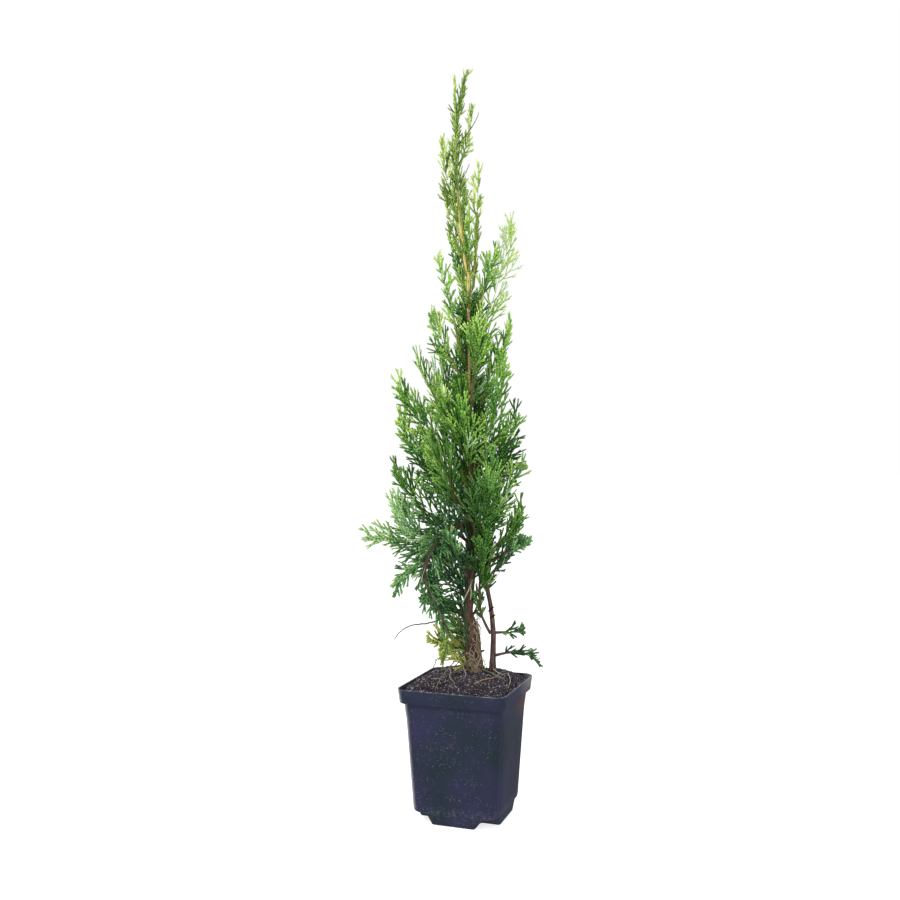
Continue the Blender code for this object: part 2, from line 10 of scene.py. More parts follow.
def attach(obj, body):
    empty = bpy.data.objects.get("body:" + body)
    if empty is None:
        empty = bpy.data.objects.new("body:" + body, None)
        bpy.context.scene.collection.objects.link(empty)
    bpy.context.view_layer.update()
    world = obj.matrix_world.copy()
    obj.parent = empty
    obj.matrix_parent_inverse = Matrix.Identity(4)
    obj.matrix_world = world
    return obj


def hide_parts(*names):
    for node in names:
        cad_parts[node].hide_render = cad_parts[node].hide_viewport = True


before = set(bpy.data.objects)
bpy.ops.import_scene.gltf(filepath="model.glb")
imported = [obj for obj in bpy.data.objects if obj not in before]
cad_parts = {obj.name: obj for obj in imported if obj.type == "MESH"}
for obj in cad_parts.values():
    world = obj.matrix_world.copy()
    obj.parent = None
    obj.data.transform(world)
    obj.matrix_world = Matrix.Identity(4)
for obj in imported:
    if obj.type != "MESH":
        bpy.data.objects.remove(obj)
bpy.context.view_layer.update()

mm = 0.001


def srgbToLinear(hexColour):  # "#rrggbb" to the linear values that a shader takes
    channels = [int(hexColour[i:i + 2], 16) / 255 for i in (1, 3, 5)]
    linear = [c / 12.92 if c <= 0.04045 else ((c + 0.055) / 1.055) ** 2.4 for c in channels]
    return (*linear, 1)


def setNode(tree, node, values):  # a value goes to an input or a setting, a node or a socket is linked
    for name, value in values.items():
        source = value.outputs[0] if isinstance(value, bpy.types.Node) else value
        if isinstance(source, bpy.types.NodeSocket):
            tree.links.new(source, node.inputs[name])
        elif isinstance(name, int) or name in node.inputs:
            node.inputs[name].default_value = srgbToLinear(value) if isinstance(value, str) else value
        else:
            setattr(node, name, value)


def addNode(tree, kind, values={}, stops=()):  # one node, its settings and what feeds it
    node = tree.nodes.new("ShaderNode" + kind)
    setNode(tree, node, values)
    for index, (place, colour) in enumerate(stops):  # of a colour ramp
        element = node.color_ramp.elements[index] if index < 2 else node.color_ramp.elements.new(place)
        element.position = place
        element.color = srgbToLinear(colour) if isinstance(colour, str) else (colour, colour, colour, 1)
    return node


def newMaterial(name, values):  # a Principled material with its own socket values
    material = bpy.data.materials.new(name)
    material.use_nodes = True
    shader = material.node_tree.nodes["Principled BSDF"]
    setNode(material.node_tree, shader, values)
    return material, material.node_tree, shader


def meshFrom(name, bm):
    mesh = bpy.data.meshes.new(name)
    bm.to_mesh(mesh)
    bm.free()
    return mesh


def newObject(name, data):
    obj = bpy.data.objects.new(name, data)
    bpy.context.scene.collection.objects.link(obj)
    return obj


def placePiece(name, mesh, material, stoodFor=(), smooth=True, sharpAngle=None):
    mesh.materials.append(material)
    if smooth:
        mesh.shade_smooth()
    if sharpAngle:
        mesh.set_sharp_from_angle(angle=math.radians(sharpAngle))
    obj = newObject(name, mesh)
    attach(obj, "root")
    if stoodFor:
        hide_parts(*stoodFor)


def makePiece(name, bm, material, stoodFor=()):
    bmesh.ops.recalc_face_normals(bm, faces=bm.faces)
    placePiece(name, meshFrom(name, bm), material, stoodFor)


def loft(bm, rings):  # extrudes a closed ring of points from ring to ring, and caps both ends
    order = bm.verts.layers.int.get("order") or bm.verts.layers.int.new("order")
    verts = [bm.verts.new(point) for point in rings[0]]
    for index, vert in enumerate(verts):
        vert[order] = index
    edges = firstEdges = [bm.edges.new((verts[i - 1], verts[i])) for i in range(len(verts))]
    for ring in rings[1:]:
        grown = bmesh.ops.extrude_edge_only(bm, edges=edges)["geom"]
        newVerts = {item for item in grown if isinstance(item, bmesh.types.BMVert)}
        for vert in newVerts:
            vert.co = ring[vert[order]]
        newEdges = [item for item in grown if isinstance(item, bmesh.types.BMEdge)]
        edges = [edge for edge in newEdges if newVerts.issuperset(edge.verts)]
    for hole in (firstEdges, edges):
        bmesh.ops.contextual_create(bm, geom=hole)


stageSet = {
    "cameraDistance": 817 * mm,
    "cameraHeight": 296.2 * mm,
    "cameraTurn": math.radians(19),  # round the pot, from straight in front
    "cameraTiltUp": 0.003,
    "focalLength": 39.64,  # in mm, as is the sensor's width
    "sensorWidth": 36,
    "sidewaysShift": -0.0187,
    "nearest": 0.02,
    "floorRadius": 12,
    "floorColour": "#c4c4c3",
    "floorGlow": 0.75,
    "wallColour": "#ffffff",
    "skyStrength": 0.75,
    "lowSky": 0.22,  # brightness of the surroundings below the horizon, as a share of the sky's
    "cardDirection": (-0.93, 0.32, -0.2),
    "cardStrength": 3.5,
    "lights": (  # name, place, what it points at, power in watts, width and colour
        ("keyLight", (-0.75, -1.1, 1.35), (0, 0, 0.3), 16, 0.5, "#fffaf0"),
        ("fillLight", (1.2, -0.7, 0.9), (0, 0, 0.3), 5, 0.9, "#ffffff"),
        ("backLight", (0.3, 1.3, 1.2), (0, 0, 0.3), 5, 0.9, "#ffffff"),
        ("edgeLight", (-1.1, 0.6, 0.16), (0, 0, 0.08), 2.5, 0.3, "#e4f2f2"),
    ),
}


def setCamera():
    turn, away = stageSet["cameraTurn"], stageSet["cameraDistance"]
    lens = bpy.data.cameras.new("camera")
    lens.sensor_width = stageSet["sensorWidth"]
    lens.lens = stageSet["focalLength"]
    lens.shift_x = stageSet["sidewaysShift"]
    lens.clip_start = stageSet["nearest"]
    camera = newObject("camera", lens)
    camera.location = (away * math.sin(turn), -away * math.cos(turn), stageSet["cameraHeight"])
    camera.rotation_euler = (math.pi / 2 + stageSet["cameraTiltUp"], 0, turn)
    bpy.context.scene.camera = camera
    bpy.context.scene.view_settings.view_transform = "Standard"


def setSurroundings():
    world = bpy.data.worlds.new("paleStudio")
    world.use_nodes = True
    bpy.context.scene.world = world
    tree = world.node_tree
    direction = addNode(tree, "TexCoord").outputs["Generated"]
    upward = addNode(tree, "SeparateXYZ", {"Vector": direction}).outputs["Z"]
    fade = addNode(tree, "MapRange", {  # dark below the horizon, so that dark plastic mirrors dark
        "From Min": -0.25, "From Max": 0.15, "To Min": stageSet["lowSky"], "Value": upward})
    aside = addNode(tree, "VectorMath", {
        "operation": "DOT_PRODUCT", 0: direction, 1: stageSet["cardDirection"]}).outputs["Value"]
    card = addNode(tree, "MapRange", {  # a pale card low on the left, for the edge of the pot
        "From Min": 0.86, "From Max": 0.97, "To Max": stageSet["cardStrength"], "Value": aside})
    lit = tree.nodes["Background"]
    setNode(tree, lit, {
        "Strength": stageSet["skyStrength"],
        "Color": addNode(tree, "Math", {"operation": "ADD", 0: fade, 1: card}),
    })
    seen = addNode(tree, "Background", {"Color": stageSet["wallColour"]})
    toCamera = addNode(tree, "LightPath").outputs["Is Camera Ray"]
    mix = addNode(tree, "MixShader", {0: toCamera, 1: lit, 2: seen})
    setNode(tree, tree.nodes["World Output"], {"Surface": mix})


def setFloorAndLights():
    bm = bmesh.new()
    bmesh.ops.create_circle(bm, cap_ends=True, segments=96, radius=stageSet["floorRadius"])
    floor = newObject("floor", meshFrom("floor", bm))
    floor.data.materials.append(newMaterial("paleFloor", {
        "Base Color": stageSet["floorColour"], "Roughness": 0.9,
        "Emission Color": "#ffffff", "Emission Strength": stageSet["floorGlow"],
    })[0])
    floor.visible_glossy = False
    for name, place, target, power, size, colour in stageSet["lights"]:
        light = bpy.data.lights.new(name, "AREA")
        light.shape = "DISK"
        light.size = size
        light.energy = power
        light.color = srgbToLinear(colour)[:3]
        lamp = newObject(name, light)
        lamp.location = place
        lamp.rotation_euler = (Vector(target) - Vector(place)).to_track_quat("-Z", "Y").to_euler()
        lamp.visible_camera = False


setCamera()
setSurroundings()
setFloorAndLights()
print("stage: camera, floor and lights are set")


pot = {
    "rimWidth": 91 * mm,
    "height": 108.2 * mm,
    "collarHeight": 11.5 * mm,
    "collarFootWidth": 88.5 * mm,
    "bodyTopWidth": 82.8 * mm,
    "bodyFootWidth": 72 * mm,
    "cornerRadius": 9 * mm,
    "wall": 1.2 * mm,
    "footHeight": 8.2 * mm,
    "armLength": 68.5 * mm,
    "armWidth": 36 * mm,
    "armDraft": 5 * mm,
    "drainRadius": 3 * mm,
    "drainPlace": 28.5 * mm,
    "lip": 0.55 * mm,  # radius of the rounded rim edge
    "hem": 2.6 * mm,  # rounding of the body's lower edge
    "flute": 0.65 * mm,  # how far each upright corner is set back
    "fluteWidth": 3 * mm,
    "arcSteps": 10,
    # by noise: teal, navy and violet, the blue-violet cast a painted reflection of the sky
    "bodyColours": ((0.34, "#1a2a34"), (0.5, "#242a3e"), (0.64, "#292a48")),
    "dustMesh": 0.8 * mm,
    "dustColour": "#b4b9c4",
    "rubbedColour": "#767b88",
    # colour of a painted warm reflection, high on the far right of the pot
    "clayColour": "#6e4538",
    # colour of a painted sheen, a grey reflection painted on the collar
    "sheenColour": "#7d7a80",
}


def bodyWidth(z):
    foot, widening = pot["footHeight"], pot["bodyTopWidth"] - pot["bodyFootWidth"]
    return pot["bodyFootWidth"] + widening * (z - foot) / (pot["height"] - pot["collarHeight"] - foot)


def collarWidth(z):
    low, widening = pot["height"] - pot["collarHeight"], pot["rimWidth"] - pot["collarFootWidth"]
    return pot["collarFootWidth"] + widening * (z - low) / pot["collarHeight"]


def squareRing(width, radius, z, flute=0.0):  # a rounded square, its corners set back by flute
    half, points = width / 2, []
    straight, reach = half - radius, radius - flute
    band = pot["fluteWidth"]
    near = [(half, 0.45 * straight)]
    near += [(half - flute * (1 - step), straight - band * step) for step in (1, 0.66, 0.33)]
    angles = [step / pot["arcSteps"] * math.pi / 2 for step in range(pot["arcSteps"] + 1)]
    arc = [(straight + reach * math.cos(angle), straight + reach * math.sin(angle)) for angle in angles]
    run = [(half, 0), *near, *arc, *((y, x) for x, y in reversed(near))]
    for corner in range(4):
        turned = Matrix.Rotation(corner * math.pi / 2, 3, "Z")
        points += [turned @ Vector((x, y, z)) for x, y in run]
    return points


def potRings():  # from the floor's underside up the outside, over the lip and down the inside
    top, wall, corner, hem, lip = (pot[name] for name in ("height", "wall", "cornerRadius", "hem", "lip"))
    foot, flute = pot["footHeight"], pot["flute"]
    shoulder = top - pot["collarHeight"]
    rows = []  # the width, corner radius, height and flute of each ring
    for turn in range(0, 91, 15):  # the rounded lower edge
        angle = math.radians(turn)
        z = foot + hem * (1 - math.cos(angle))
        inward = hem * (1 - math.sin(angle))
        rows.append((bodyWidth(z) - 2 * inward, corner - inward * 0.6, z, flute))
    for share in (0.15, 0.3, 0.45, 0.6, 0.75, 0.83, 0.87, 0.91, 0.95):  # the walls, as the flutes run out
        z = foot + hem + (shoulder - foot - hem) * share
        fade = min(1, max(0, (0.95 - share) / 0.12))
        rows.append((bodyWidth(z), corner, z, flute * fade * fade * (3 - 2 * fade)))
    step = (collarWidth(shoulder) - bodyWidth(shoulder)) / 2
    rows += [
        (bodyWidth(shoulder - 0.9 * mm), corner, shoulder - 0.9 * mm),
        (bodyWidth(shoulder) + 0.5 * mm, corner, shoulder - 0.25 * mm),
        (bodyWidth(shoulder) + step, corner, shoulder),
    ]
    for outward, upward in ((-0.5, 0), (-0.15, 0.15), (0, 0.5)):  # mm, round the collar's lower edge
        z = shoulder + upward * mm
        rows.append((collarWidth(z) + 2 * outward * mm, corner + outward * mm, z))
    rows.append((collarWidth(top - 6 * mm), corner, top - 6 * mm))
    for turn in range(0, 181, 30):  # over the rounded lip
        angle = math.radians(turn)
        inward = lip * (1 - math.cos(angle))
        rows.append((collarWidth(top) - 2 * inward, corner - inward, top - lip * (1 - math.sin(angle))))
    rows += [
        (collarWidth(shoulder) - 2 * wall, corner - wall, shoulder + 2 * wall),
        (bodyWidth(shoulder) - 2 * wall, corner - wall, shoulder),
        (bodyWidth(foot + hem) - 2 * wall, corner - wall - flute, foot + hem),
        (bodyWidth(foot + wall) - 2 * hem, corner - hem, foot + wall),
    ]
    return [squareRing(*row) for row in rows]


def potFoot():  # a plus of five faces, drawn down and in, its edges rounded
    bm = bmesh.new()
    bmesh.ops.create_grid(bm, x_segments=3, y_segments=3, size=1)
    middles = [(face, face.calc_center_median()) for face in bm.faces]
    corners = [face for face, middle in middles if abs(middle.x * middle.y) > 0.1]
    bmesh.ops.delete(bm, geom=corners, context="FACES")
    spread, draft = pot["armDraft"] / 3, pot["armDraft"]
    near, far = pot["armWidth"] / 2 + draft, pot["armLength"] / 2 + spread / 2
    for vert in bm.verts:
        for axis in (0, 1):
            vert.co[axis] = math.copysign(far if abs(vert.co[axis]) > 0.5 else near, vert.co[axis])
        vert.co.z = pot["footHeight"] + 0.5 * pot["wall"]
    grown = bmesh.ops.extrude_face_region(bm, geom=bm.faces[:])["geom"]
    for vert in (item for item in grown if isinstance(item, bmesh.types.BMVert)):
        for axis in (0, 1):
            inward = spread / 2 if abs(vert.co[axis]) > near + mm else draft
            vert.co[axis] -= math.copysign(inward, vert.co[axis])
        vert.co.z = 0
    bmesh.ops.recalc_face_normals(bm, faces=bm.faces)
    upright = [e for e in bm.edges if abs(e.verts[0].co.z - e.verts[1].co.z) > mm]
    bmesh.ops.bevel(bm, geom=upright, offset=2 * mm, segments=3, profile=0.5, affect="EDGES", material=-1)
    under = [e for e in bm.edges if max(v.co.z for v in e.verts) < 0.1 * mm and e.calc_face_angle(0) > 0.5]
    bmesh.ops.bevel(bm, geom=under, offset=0.9 * mm, segments=3, profile=0.5, affect="EDGES", material=-1)
    return bm


def applyBoolean(obj, name, bm, operation):
    other = newObject(name, meshFrom(name, bm))
    cut = obj.modifiers.new(name, "BOOLEAN")
    cut.operation = operation
    cut.object = other
    graph = bpy.context.evaluated_depsgraph_get()
    mesh = bpy.data.meshes.new_from_object(obj.evaluated_get(graph))
    obj.modifiers.clear()
    obj.data = mesh
    bpy.data.objects.remove(other)


def blackPolypropylene():
    # Injection-moulded black polypropylene, dusty from the nursery: a dull satin sheen, a blue-violet cast
    # painted into the base colour as a painted reflection of the sky, fine moulding grain, pale dust specks,
    # a lip and a foot rubbed grey, a painted warm reflection high on one side and a painted grey sheen on the
    # collar above it.
    material, tree, shader = newMaterial("mouldedBlackPolypropylene", {
        "IOR": 1.49, "Specular IOR Level": 0.34})
    place = addNode(tree, "TexCoord").outputs["Object"]
    axes = addNode(tree, "SeparateXYZ", {"Vector": place}).outputs
    height, along = pot["height"] / mm, {}
    for name, axis, begin, end, limits in (  # where each thing begins and ends, in mm
        ("left", "X", 45, -30, {"To Min": 0.35}),
        ("low", "Z", 0, 20, {}),
        ("lip", "Z", height - 0.9, height - 0.3, {"To Max": 3}),
        ("paintedWarmReflectionHeight", "Z", 74, 108, {}),
        ("collar", "Z", 95, 104, {"To Max": 0.75}),
        ("back", "Y", 0, 30, {}),
        ("right", "X", 35, 39, {}),
    ):
        along[name] = addNode(tree, "MapRange", {
            "From Min": begin * mm, "From Max": end * mm, "Value": axes[axis], **limits})

    # dust: a dot in some of the cells of a fine mesh, thicker in some places than in others and to the left
    cells = addNode(tree, "TexVoronoi", {"Scale": 1 / pot["dustMesh"], "Vector": place})
    dots = addNode(tree, "ValToRGB", {"Fac": cells}, ((0.1, 1.0), (0.26, 0.0)))
    lots = addNode(tree, "SeparateColor", {"Color": cells.outputs["Color"]}).outputs
    drifts = addNode(tree, "TexNoise", {"Scale": 32.0, "Detail": 2.0, "Vector": place})
    settled = addNode(tree, "MapRange", {"From Min": 0.36, "From Max": 0.68, "To Max": 0.7, "Value": drifts})
    chance = addNode(tree, "Math", {"operation": "MULTIPLY", 0: settled, 1: along["left"]})
    chosen = addNode(tree, "Math", {"operation": "LESS_THAN", 0: lots["Red"], 1: chance})
    strong = addNode(tree, "Math", {"operation": "MULTIPLY", 0: chosen, 1: lots["Green"]})
    dust = addNode(tree, "Math", {"operation": "MULTIPLY", 0: dots, 1: strong})

    # rubbed grey at the lip and near the foot
    scuffs = addNode(tree, "TexNoise", {"Scale": 330.0, "Detail": 6.0, "Roughness": 0.8, "Vector": place})
    rubs = addNode(tree, "ValToRGB", {"Fac": scuffs}, ((0.48, 0.0), (0.74, 0.7)))
    low = addNode(tree, "ValToRGB", {"Fac": along["low"]}, ((0.36, 0.25), (0.46, 1.0), (0.85, 0.0)))
    worn = addNode(tree, "Math", {"operation": "MAXIMUM", 0: low, 1: along["lip"]})
    rubbed = addNode(tree, "Math", {"operation": "MULTIPLY", "use_clamp": True, 0: worn, 1: rubs})

    # painted reflection: a warm reddish patch below the collar's far corner, and a painted grey sheen on the
    # collar above it
    band = addNode(tree, "ValToRGB", {"Fac": along["paintedWarmReflectionHeight"]}, (
        (0.0, 0.0), (0.4, 0.75), (0.72, 0.6), (0.86, 0.0)))
    corner = addNode(tree, "Math", {"operation": "MULTIPLY", 0: along["back"], 1: along["right"]})
    paintedReflectionBreakup = addNode(tree, "MapRange", {"From Min": 0.38, "From Max": 0.56, "To Min": 0.3, "Value": scuffs})
    clay = addNode(tree, "Math", {"operation": "MULTIPLY", 0: paintedReflectionBreakup, 1: band})
    paintedWarmReflectionMask = addNode(tree, "Math", {"operation": "MULTIPLY", 0: corner, 1: clay})
    # painted sheen: a grey reflection painted on the collar at the far right corner
    sheen = addNode(tree, "Math", {"operation": "MULTIPLY", 0: corner, 1: along["collar"]})

    cloud = addNode(tree, "TexNoise", {"Scale": 24.0, "Detail": 3.0, "Vector": place})
    # the body's colour by noise, its blue-violet cast a painted reflection of the sky painted into the base
    # colour
    colour = addNode(tree, "ValToRGB", {"Fac": cloud}, pot["bodyColours"])
    for layer, share in (("dust", dust), ("rubbed", rubbed), ("clay", paintedWarmReflectionMask), ("sheen", sheen)):
        colour = addNode(tree, "Mix", {
            "data_type": "RGBA", "Factor": share, 6: colour, 7: pot[f"{layer}Colour"]}).outputs[2]
    grain = addNode(tree, "TexNoise", {"Scale": 1 / (0.9 * mm), "Detail": 2.0, "Vector": place})
    setNode(tree, shader, {
        "Base Color": colour,
        "Roughness": addNode(tree, "MapRange", {"To Min": 0.2, "To Max": 0.5, "Value": scuffs}),
        "Normal": addNode(tree, "Bump", {"Strength": 0.18, "Distance": 0.12 * mm, "Height": grain}),
    })
    return material


def makePot():
    bm = bmesh.new()
    loft(bm, potRings())
    bmesh.ops.recalc_face_normals(bm, faces=bm.faces)
    shell = newObject("potBody", meshFrom("potBody", bm))
    applyBoolean(shell, "potFoot", potFoot(), "UNION")
    bm = bmesh.new()
    radius, aside = pot["drainRadius"], pot["drainPlace"]
    for x, y in ((-aside, -aside), (-aside, aside), (aside, -aside), (aside, aside)):
        bmesh.ops.create_cone(
            bm, cap_ends=True, segments=24, radius1=radius, radius2=radius, depth=6 * pot["wall"],
            matrix=Matrix.Translation((x, y, pot["footHeight"])),
        )
    applyBoolean(shell, "drains", bm, "DIFFERENCE")
    mesh = shell.data
    bpy.data.objects.remove(shell)
    mesh.name = "potShell"
    placePiece("potShell", mesh, blackPolypropylene(), ["pot"], sharpAngle=50)


makePot()
print("pot: shell, foot and drain holes are made")


peat = {
    "edgeHeight": 104.7 * mm,
    "topHeight": 114.2 * mm,
    "heap": ((0, 1), (0.45, 1), (0.67, 0.93), (0.86, 0.5), (1, 0)),  # share of half width, share of rise
    "depth": 9 * mm,
    "clearance": 0.6 * mm,  # both sides together
    "bedRings": 34,
    "lumpiness": 0.9 * mm,
    "lumpSizes": (9 * mm, 3.5 * mm),
    "squareness": 5,  # power of the curve that rounds the heap's corners
    "bedColours": ("#18151a", "#3a343c"),
    "crumbs": (  # piece, finish, how many, least and most size, darkest and lightest colour
        ("peatCrumbsDark", "peatCrumbsBlack", 6000, (0.35 * mm, 1.0 * mm), ("#221e25", "#4a434c")),
        ("peatCrumbsBrown", "peatCrumbsBrown", 1500, (0.35 * mm, 1.0 * mm), ("#3c3338", "#64585c")),
        ("peatCrumbsGrey", "peatCrumbsGrey", 1500, (0.35 * mm, 0.9 * mm), ("#68646c", "#b2aeb4")),
    ),
    "seed": 4,
}


def fromMiddle(x, y):  # how far out on the heap, the same all along a rounded square
    return (abs(x) ** peat["squareness"] + abs(y) ** peat["squareness"]) ** (1 / peat["squareness"])


def heapHeight(x, y):  # height of the peat's surface above the floor
    inner = collarWidth(peat["edgeHeight"]) / 2 - pot["wall"]
    shares, rises = zip(*peat["heap"])
    rise = float(np.interp(min(1, fromMiddle(x, y) / inner), shares, rises))
    coarse, fine = peat["lumpSizes"]
    lumps = noise.noise(Vector((x, y, 0.3)) / coarse) + 0.5 * noise.noise(Vector((x, y, 0.7)) / fine)
    height = peat["edgeHeight"] + rise * (peat["topHeight"] - peat["edgeHeight"])
    return height + peat["lumpiness"] * lumps * (0.4 + 0.6 * rise)


def makePeatBed(material):
    width = collarWidth(peat["edgeHeight"]) - 2 * pot["wall"] - peat["clearance"]
    radius = pot["cornerRadius"] - pot["wall"]
    depth = peat["depth"]
    low = peat["edgeHeight"] - depth
    rings = [squareRing(width - 2 * depth, radius, low), squareRing(width - 3 * mm, radius, low + 3 * mm)]
    for step in range(peat["bedRings"]):
        share = 1 - step / peat["bedRings"]
        ring = squareRing(width * share, radius * share, 0)
        rings.append([Vector((p.x, p.y, heapHeight(p.x, p.y))) for p in ring])
    bm = bmesh.new()
    loft(bm, rings)
    makePiece("peatBed", bm, material, ["soil"])


def peatMaterial(name, low, high):
    # Damp sphagnum peat: soft, fibrous and almost black, with no sheen but where a grain is wet.
    material, tree, shader = newMaterial(name, {"Roughness": 0.95, "Specular IOR Level": 0.25})
    place = addNode(tree, "TexCoord").outputs["Object"]
    crumbs = addNode(tree, "TexNoise", {"Scale": 1 / (2.2 * mm), "Detail": 4.0, "Vector": place})
    setNode(tree, shader, {
        "Base Color": addNode(tree, "ValToRGB", {"Fac": crumbs}, ((0.35, low), (0.68, high))),
        "Normal": addNode(tree, "Bump", {"Strength": 0.6, "Distance": 0.4 * mm, "Height": crumbs}),
    })
    return material


def joinedMesh(name, points, faces):  # points (n, k, 3): n copies of a shape of k points
    copies, size = points.shape[:2]
    allFaces = (faces[None, :, :] + size * np.arange(copies)[:, None, None]).reshape(-1)
    mesh = bpy.data.meshes.new(name)
    mesh.vertices.add(copies * size)
    mesh.vertices.foreach_set("co", points.reshape(-1).astype(np.float32))
    mesh.loops.add(len(allFaces))
    mesh.loops.foreach_set("vertex_index", allFaces.astype(np.int32))
    mesh.polygons.add(len(allFaces) // 3)
    mesh.polygons.foreach_set("loop_start", np.arange(0, len(allFaces), 3, dtype=np.int32))
    mesh.update(calc_edges=True)
    mesh.validate()
    return mesh


def makeCrumbs(name, count, sizes, seed, material):  # rough grains that lie all over the heap
    bm = bmesh.new()
    bmesh.ops.create_icosphere(bm, subdivisions=1, radius=1)
    points = np.array([vert.co[:] for vert in bm.verts])
    faces = np.array([[vert.index for vert in face.verts] for face in bm.faces])
    bm.free()
    draw = np.random.default_rng(seed)
    inner = collarWidth(peat["edgeHeight"]) / 2 - pot["wall"] - 0.8 * mm
    places = []
    while len(places) < count:
        x, y = draw.uniform(-inner, inner, 2)
        if fromMiddle(x, y) < inner:
            places.append((x, y, heapHeight(x, y)))
    size = sizes[0] + (sizes[1] - sizes[0]) * draw.random(count) ** 2.2
    shape = points[None] * (1 + draw.uniform(-0.3, 0.3, (count, len(points), 1)))
    shape = shape * (size[:, None] * draw.uniform(0.6, 1.25, (count, 3)))[:, None, :]
    turns = np.array([Matrix.Rotation(a, 3, Vector(v))[:] for a, v in zip(
        draw.uniform(0, math.pi, count), draw.normal(size=(count, 3)))])
    shape = np.einsum("nij,nkj->nki", turns, shape) + np.array(places)[:, None, :]
    placePiece(name, joinedMesh(name, shape, faces), material, smooth=False)


makePeatBed(peatMaterial("dampPeat", *peat["bedColours"]))
for seed, (name, finish, count, sizes, colours) in enumerate(peat["crumbs"], peat["seed"]):
    makeCrumbs(name, count, sizes, seed, peatMaterial(finish, *colours))
print("peat: bed and crumbs are made")


plant = {
    "turn": math.radians(19),
    "soilTop": 114.5 * mm,
    "trunkFootRadius": 4.5,
    "trunkTipRadius": 0.55,
    "flare": 1.8,
    "flareHeight": 8,
    "stepAlong": 9,
    "ringStep": 0.9,  # between the rings of the bark mesh
    "gap": 0.3,
    "trunkLean": (  # height above the peat, to the right, to the back
        (0, 2.5, 12), (4, 2.5, 12), (30, 2.8, 10), (50, 1, 8), (95, 4, 5), (152, 3, 2),
        (210, 1, 0), (318, 2, 0), (360, -4, 0), (420, -8.5, 0), (460, -7, 0), (498, 0.5, 0),
    ),
    "strandLean": ((0, 10, 12.5), (4, 9.8, 12.5), (18, 9.2, 11.6), (32, 8.2, 10.4), (48, 3.5, 8.4)),
    "strandRadius": (3.1, 1.9),
}

# Each limb: what it grows on and at which height, its first and last radius, and the points it
# bends through, all in mm in the plant's own frame (right, back, up from the peat).
limbPlan = {
    "right_stem": (None, 0, (2.5, 1.3), (
        (21.5, 11, 0), (21.5, 11, 4), (22, 10, 32), (19.5, 8, 56), (15.7, 6, 78), (17.2, 1.5, 93),
        (17, -2.5, 111))),
    "right_fork": ("right_stem", 91, (1.4, 1.1), ((26, -3, 96), (34, -7, 101))),
    "thin_stem": ("right_stem", 29, (1.2, 0.8), ((14.5, 3, 42), (11.5, 0, 50), (10.5, -2.5, 64))),
    "left_bough": ("trunk", 121, (2.6, 1.0), (
        (-14, -12, 120), (-25, -17, 109), (-34.5, -15, 85), (-30, -13, 69), (-22, -11, 53), (-16.5, -9, 38))),
    "middle_bough": ("trunk", 133, (1.7, 1.3), ((-9, -8, 143), (-13, -12, 156))),
    "left_low_bough": ("trunk", 93, (1.7, 1.2), ((-14, 4, 99), (-30, 0, 104))),
    "back_bough": ("trunk", 86, (1.8, 1.3), ((6, 17, 100), (7, 22, 114))),
    "front_bough": ("trunk", 216, (1.6, 1.2), ((4, -9, 231), (6, -12, 245))),
    "left_upper_bough": ("trunk", 254, (1.5, 1.1), ((-5, -7, 267), (-8, -9, 280))),
    "right_leader": ("trunk", 283, (1.4, 1.1), ((8, -4, 295), (11, -3, 308))),
    "upper_leader": ("trunk", 321, (1.2, 0.9), ((6.8, -3, 340), (8, -3, 368))),
}


def unit(vector):
    return vector / np.linalg.norm(vector)


def toWorld(points):  # from the plant's own frame, in mm, to the pot's frame, in metres
    points = np.asarray(points, float)
    cos, sin = math.cos(plant["turn"]), math.sin(plant["turn"])
    x, y, z = points[..., 0], points[..., 1], points[..., 2]
    return np.stack((cos * x - sin * y, sin * x + cos * y, z + plant["soilTop"] / mm), axis=-1) * mm


def hermite(t, start, leave, end, arrive):  # the smooth curve from start to end, by its slope at either
    return (
        (2 * t**3 - 3 * t**2 + 1) * start + (t**3 - 2 * t**2 + t) * leave
        + (3 * t**2 - 2 * t**3) * end + (t**3 - t**2) * arrive
    )


def smoothPath(knots, step):  # points about a step apart on a smooth curve through the knots
    knots = [np.array(knot, float) for knot in knots]
    padded = [2 * knots[0] - knots[1], *knots, 2 * knots[-1] - knots[-2]]
    points = []
    for before, start, end, after in zip(padded, padded[1:], padded[2:], padded[3:]):
        span = np.linalg.norm(end - start)
        leave = (end - before) * span / (span + np.linalg.norm(start - before))
        arrive = (after - start) * span / (span + np.linalg.norm(after - end))
        pieces = max(1, round(span / step))
        points += [hermite(index / pieces, start, leave, end, arrive) for index in range(pieces)]
    return np.array([*points, knots[-1]])


def lengthOf(points):
    return np.linalg.norm(points[1:] - points[:-1], axis=1).sum()


def refined(points, radii, step):  # the same path with points a step apart, rounded between its own
    at = np.concatenate(([0], np.cumsum(np.linalg.norm(points[1:] - points[:-1], axis=1))))
    wanted = np.linspace(0, at[-1], max(4, round(at[-1] / step)) + 1)
    index = np.clip(np.searchsorted(at, wanted, side="right") - 1, 0, len(at) - 2)
    span = (at[index + 1] - at[index])[:, None]
    slopes = np.gradient(points, at, axis=0)
    curve = hermite(
        (wanted - at[index])[:, None] / span,
        points[index], span * slopes[index], points[index + 1], span * slopes[index + 1],
    )
    return curve, np.interp(wanted, at, radii), wanted


def springingPoint(limb, height, toward, radius):  # where a thinner limb leaves a thicker one
    points, radii = limb
    nearest = int(np.argmin(abs(points[:, 2] - height)))
    centre = points[nearest]
    along = unit(points[min(nearest + 1, len(points) - 1)] - points[max(nearest - 1, 0)])
    lead = unit(toward - centre)
    outward = unit(lead - along * (lead @ along))
    return centre + outward * (radii[nearest] + 1.6 * plant["gap"] + radius * abs(lead @ along))


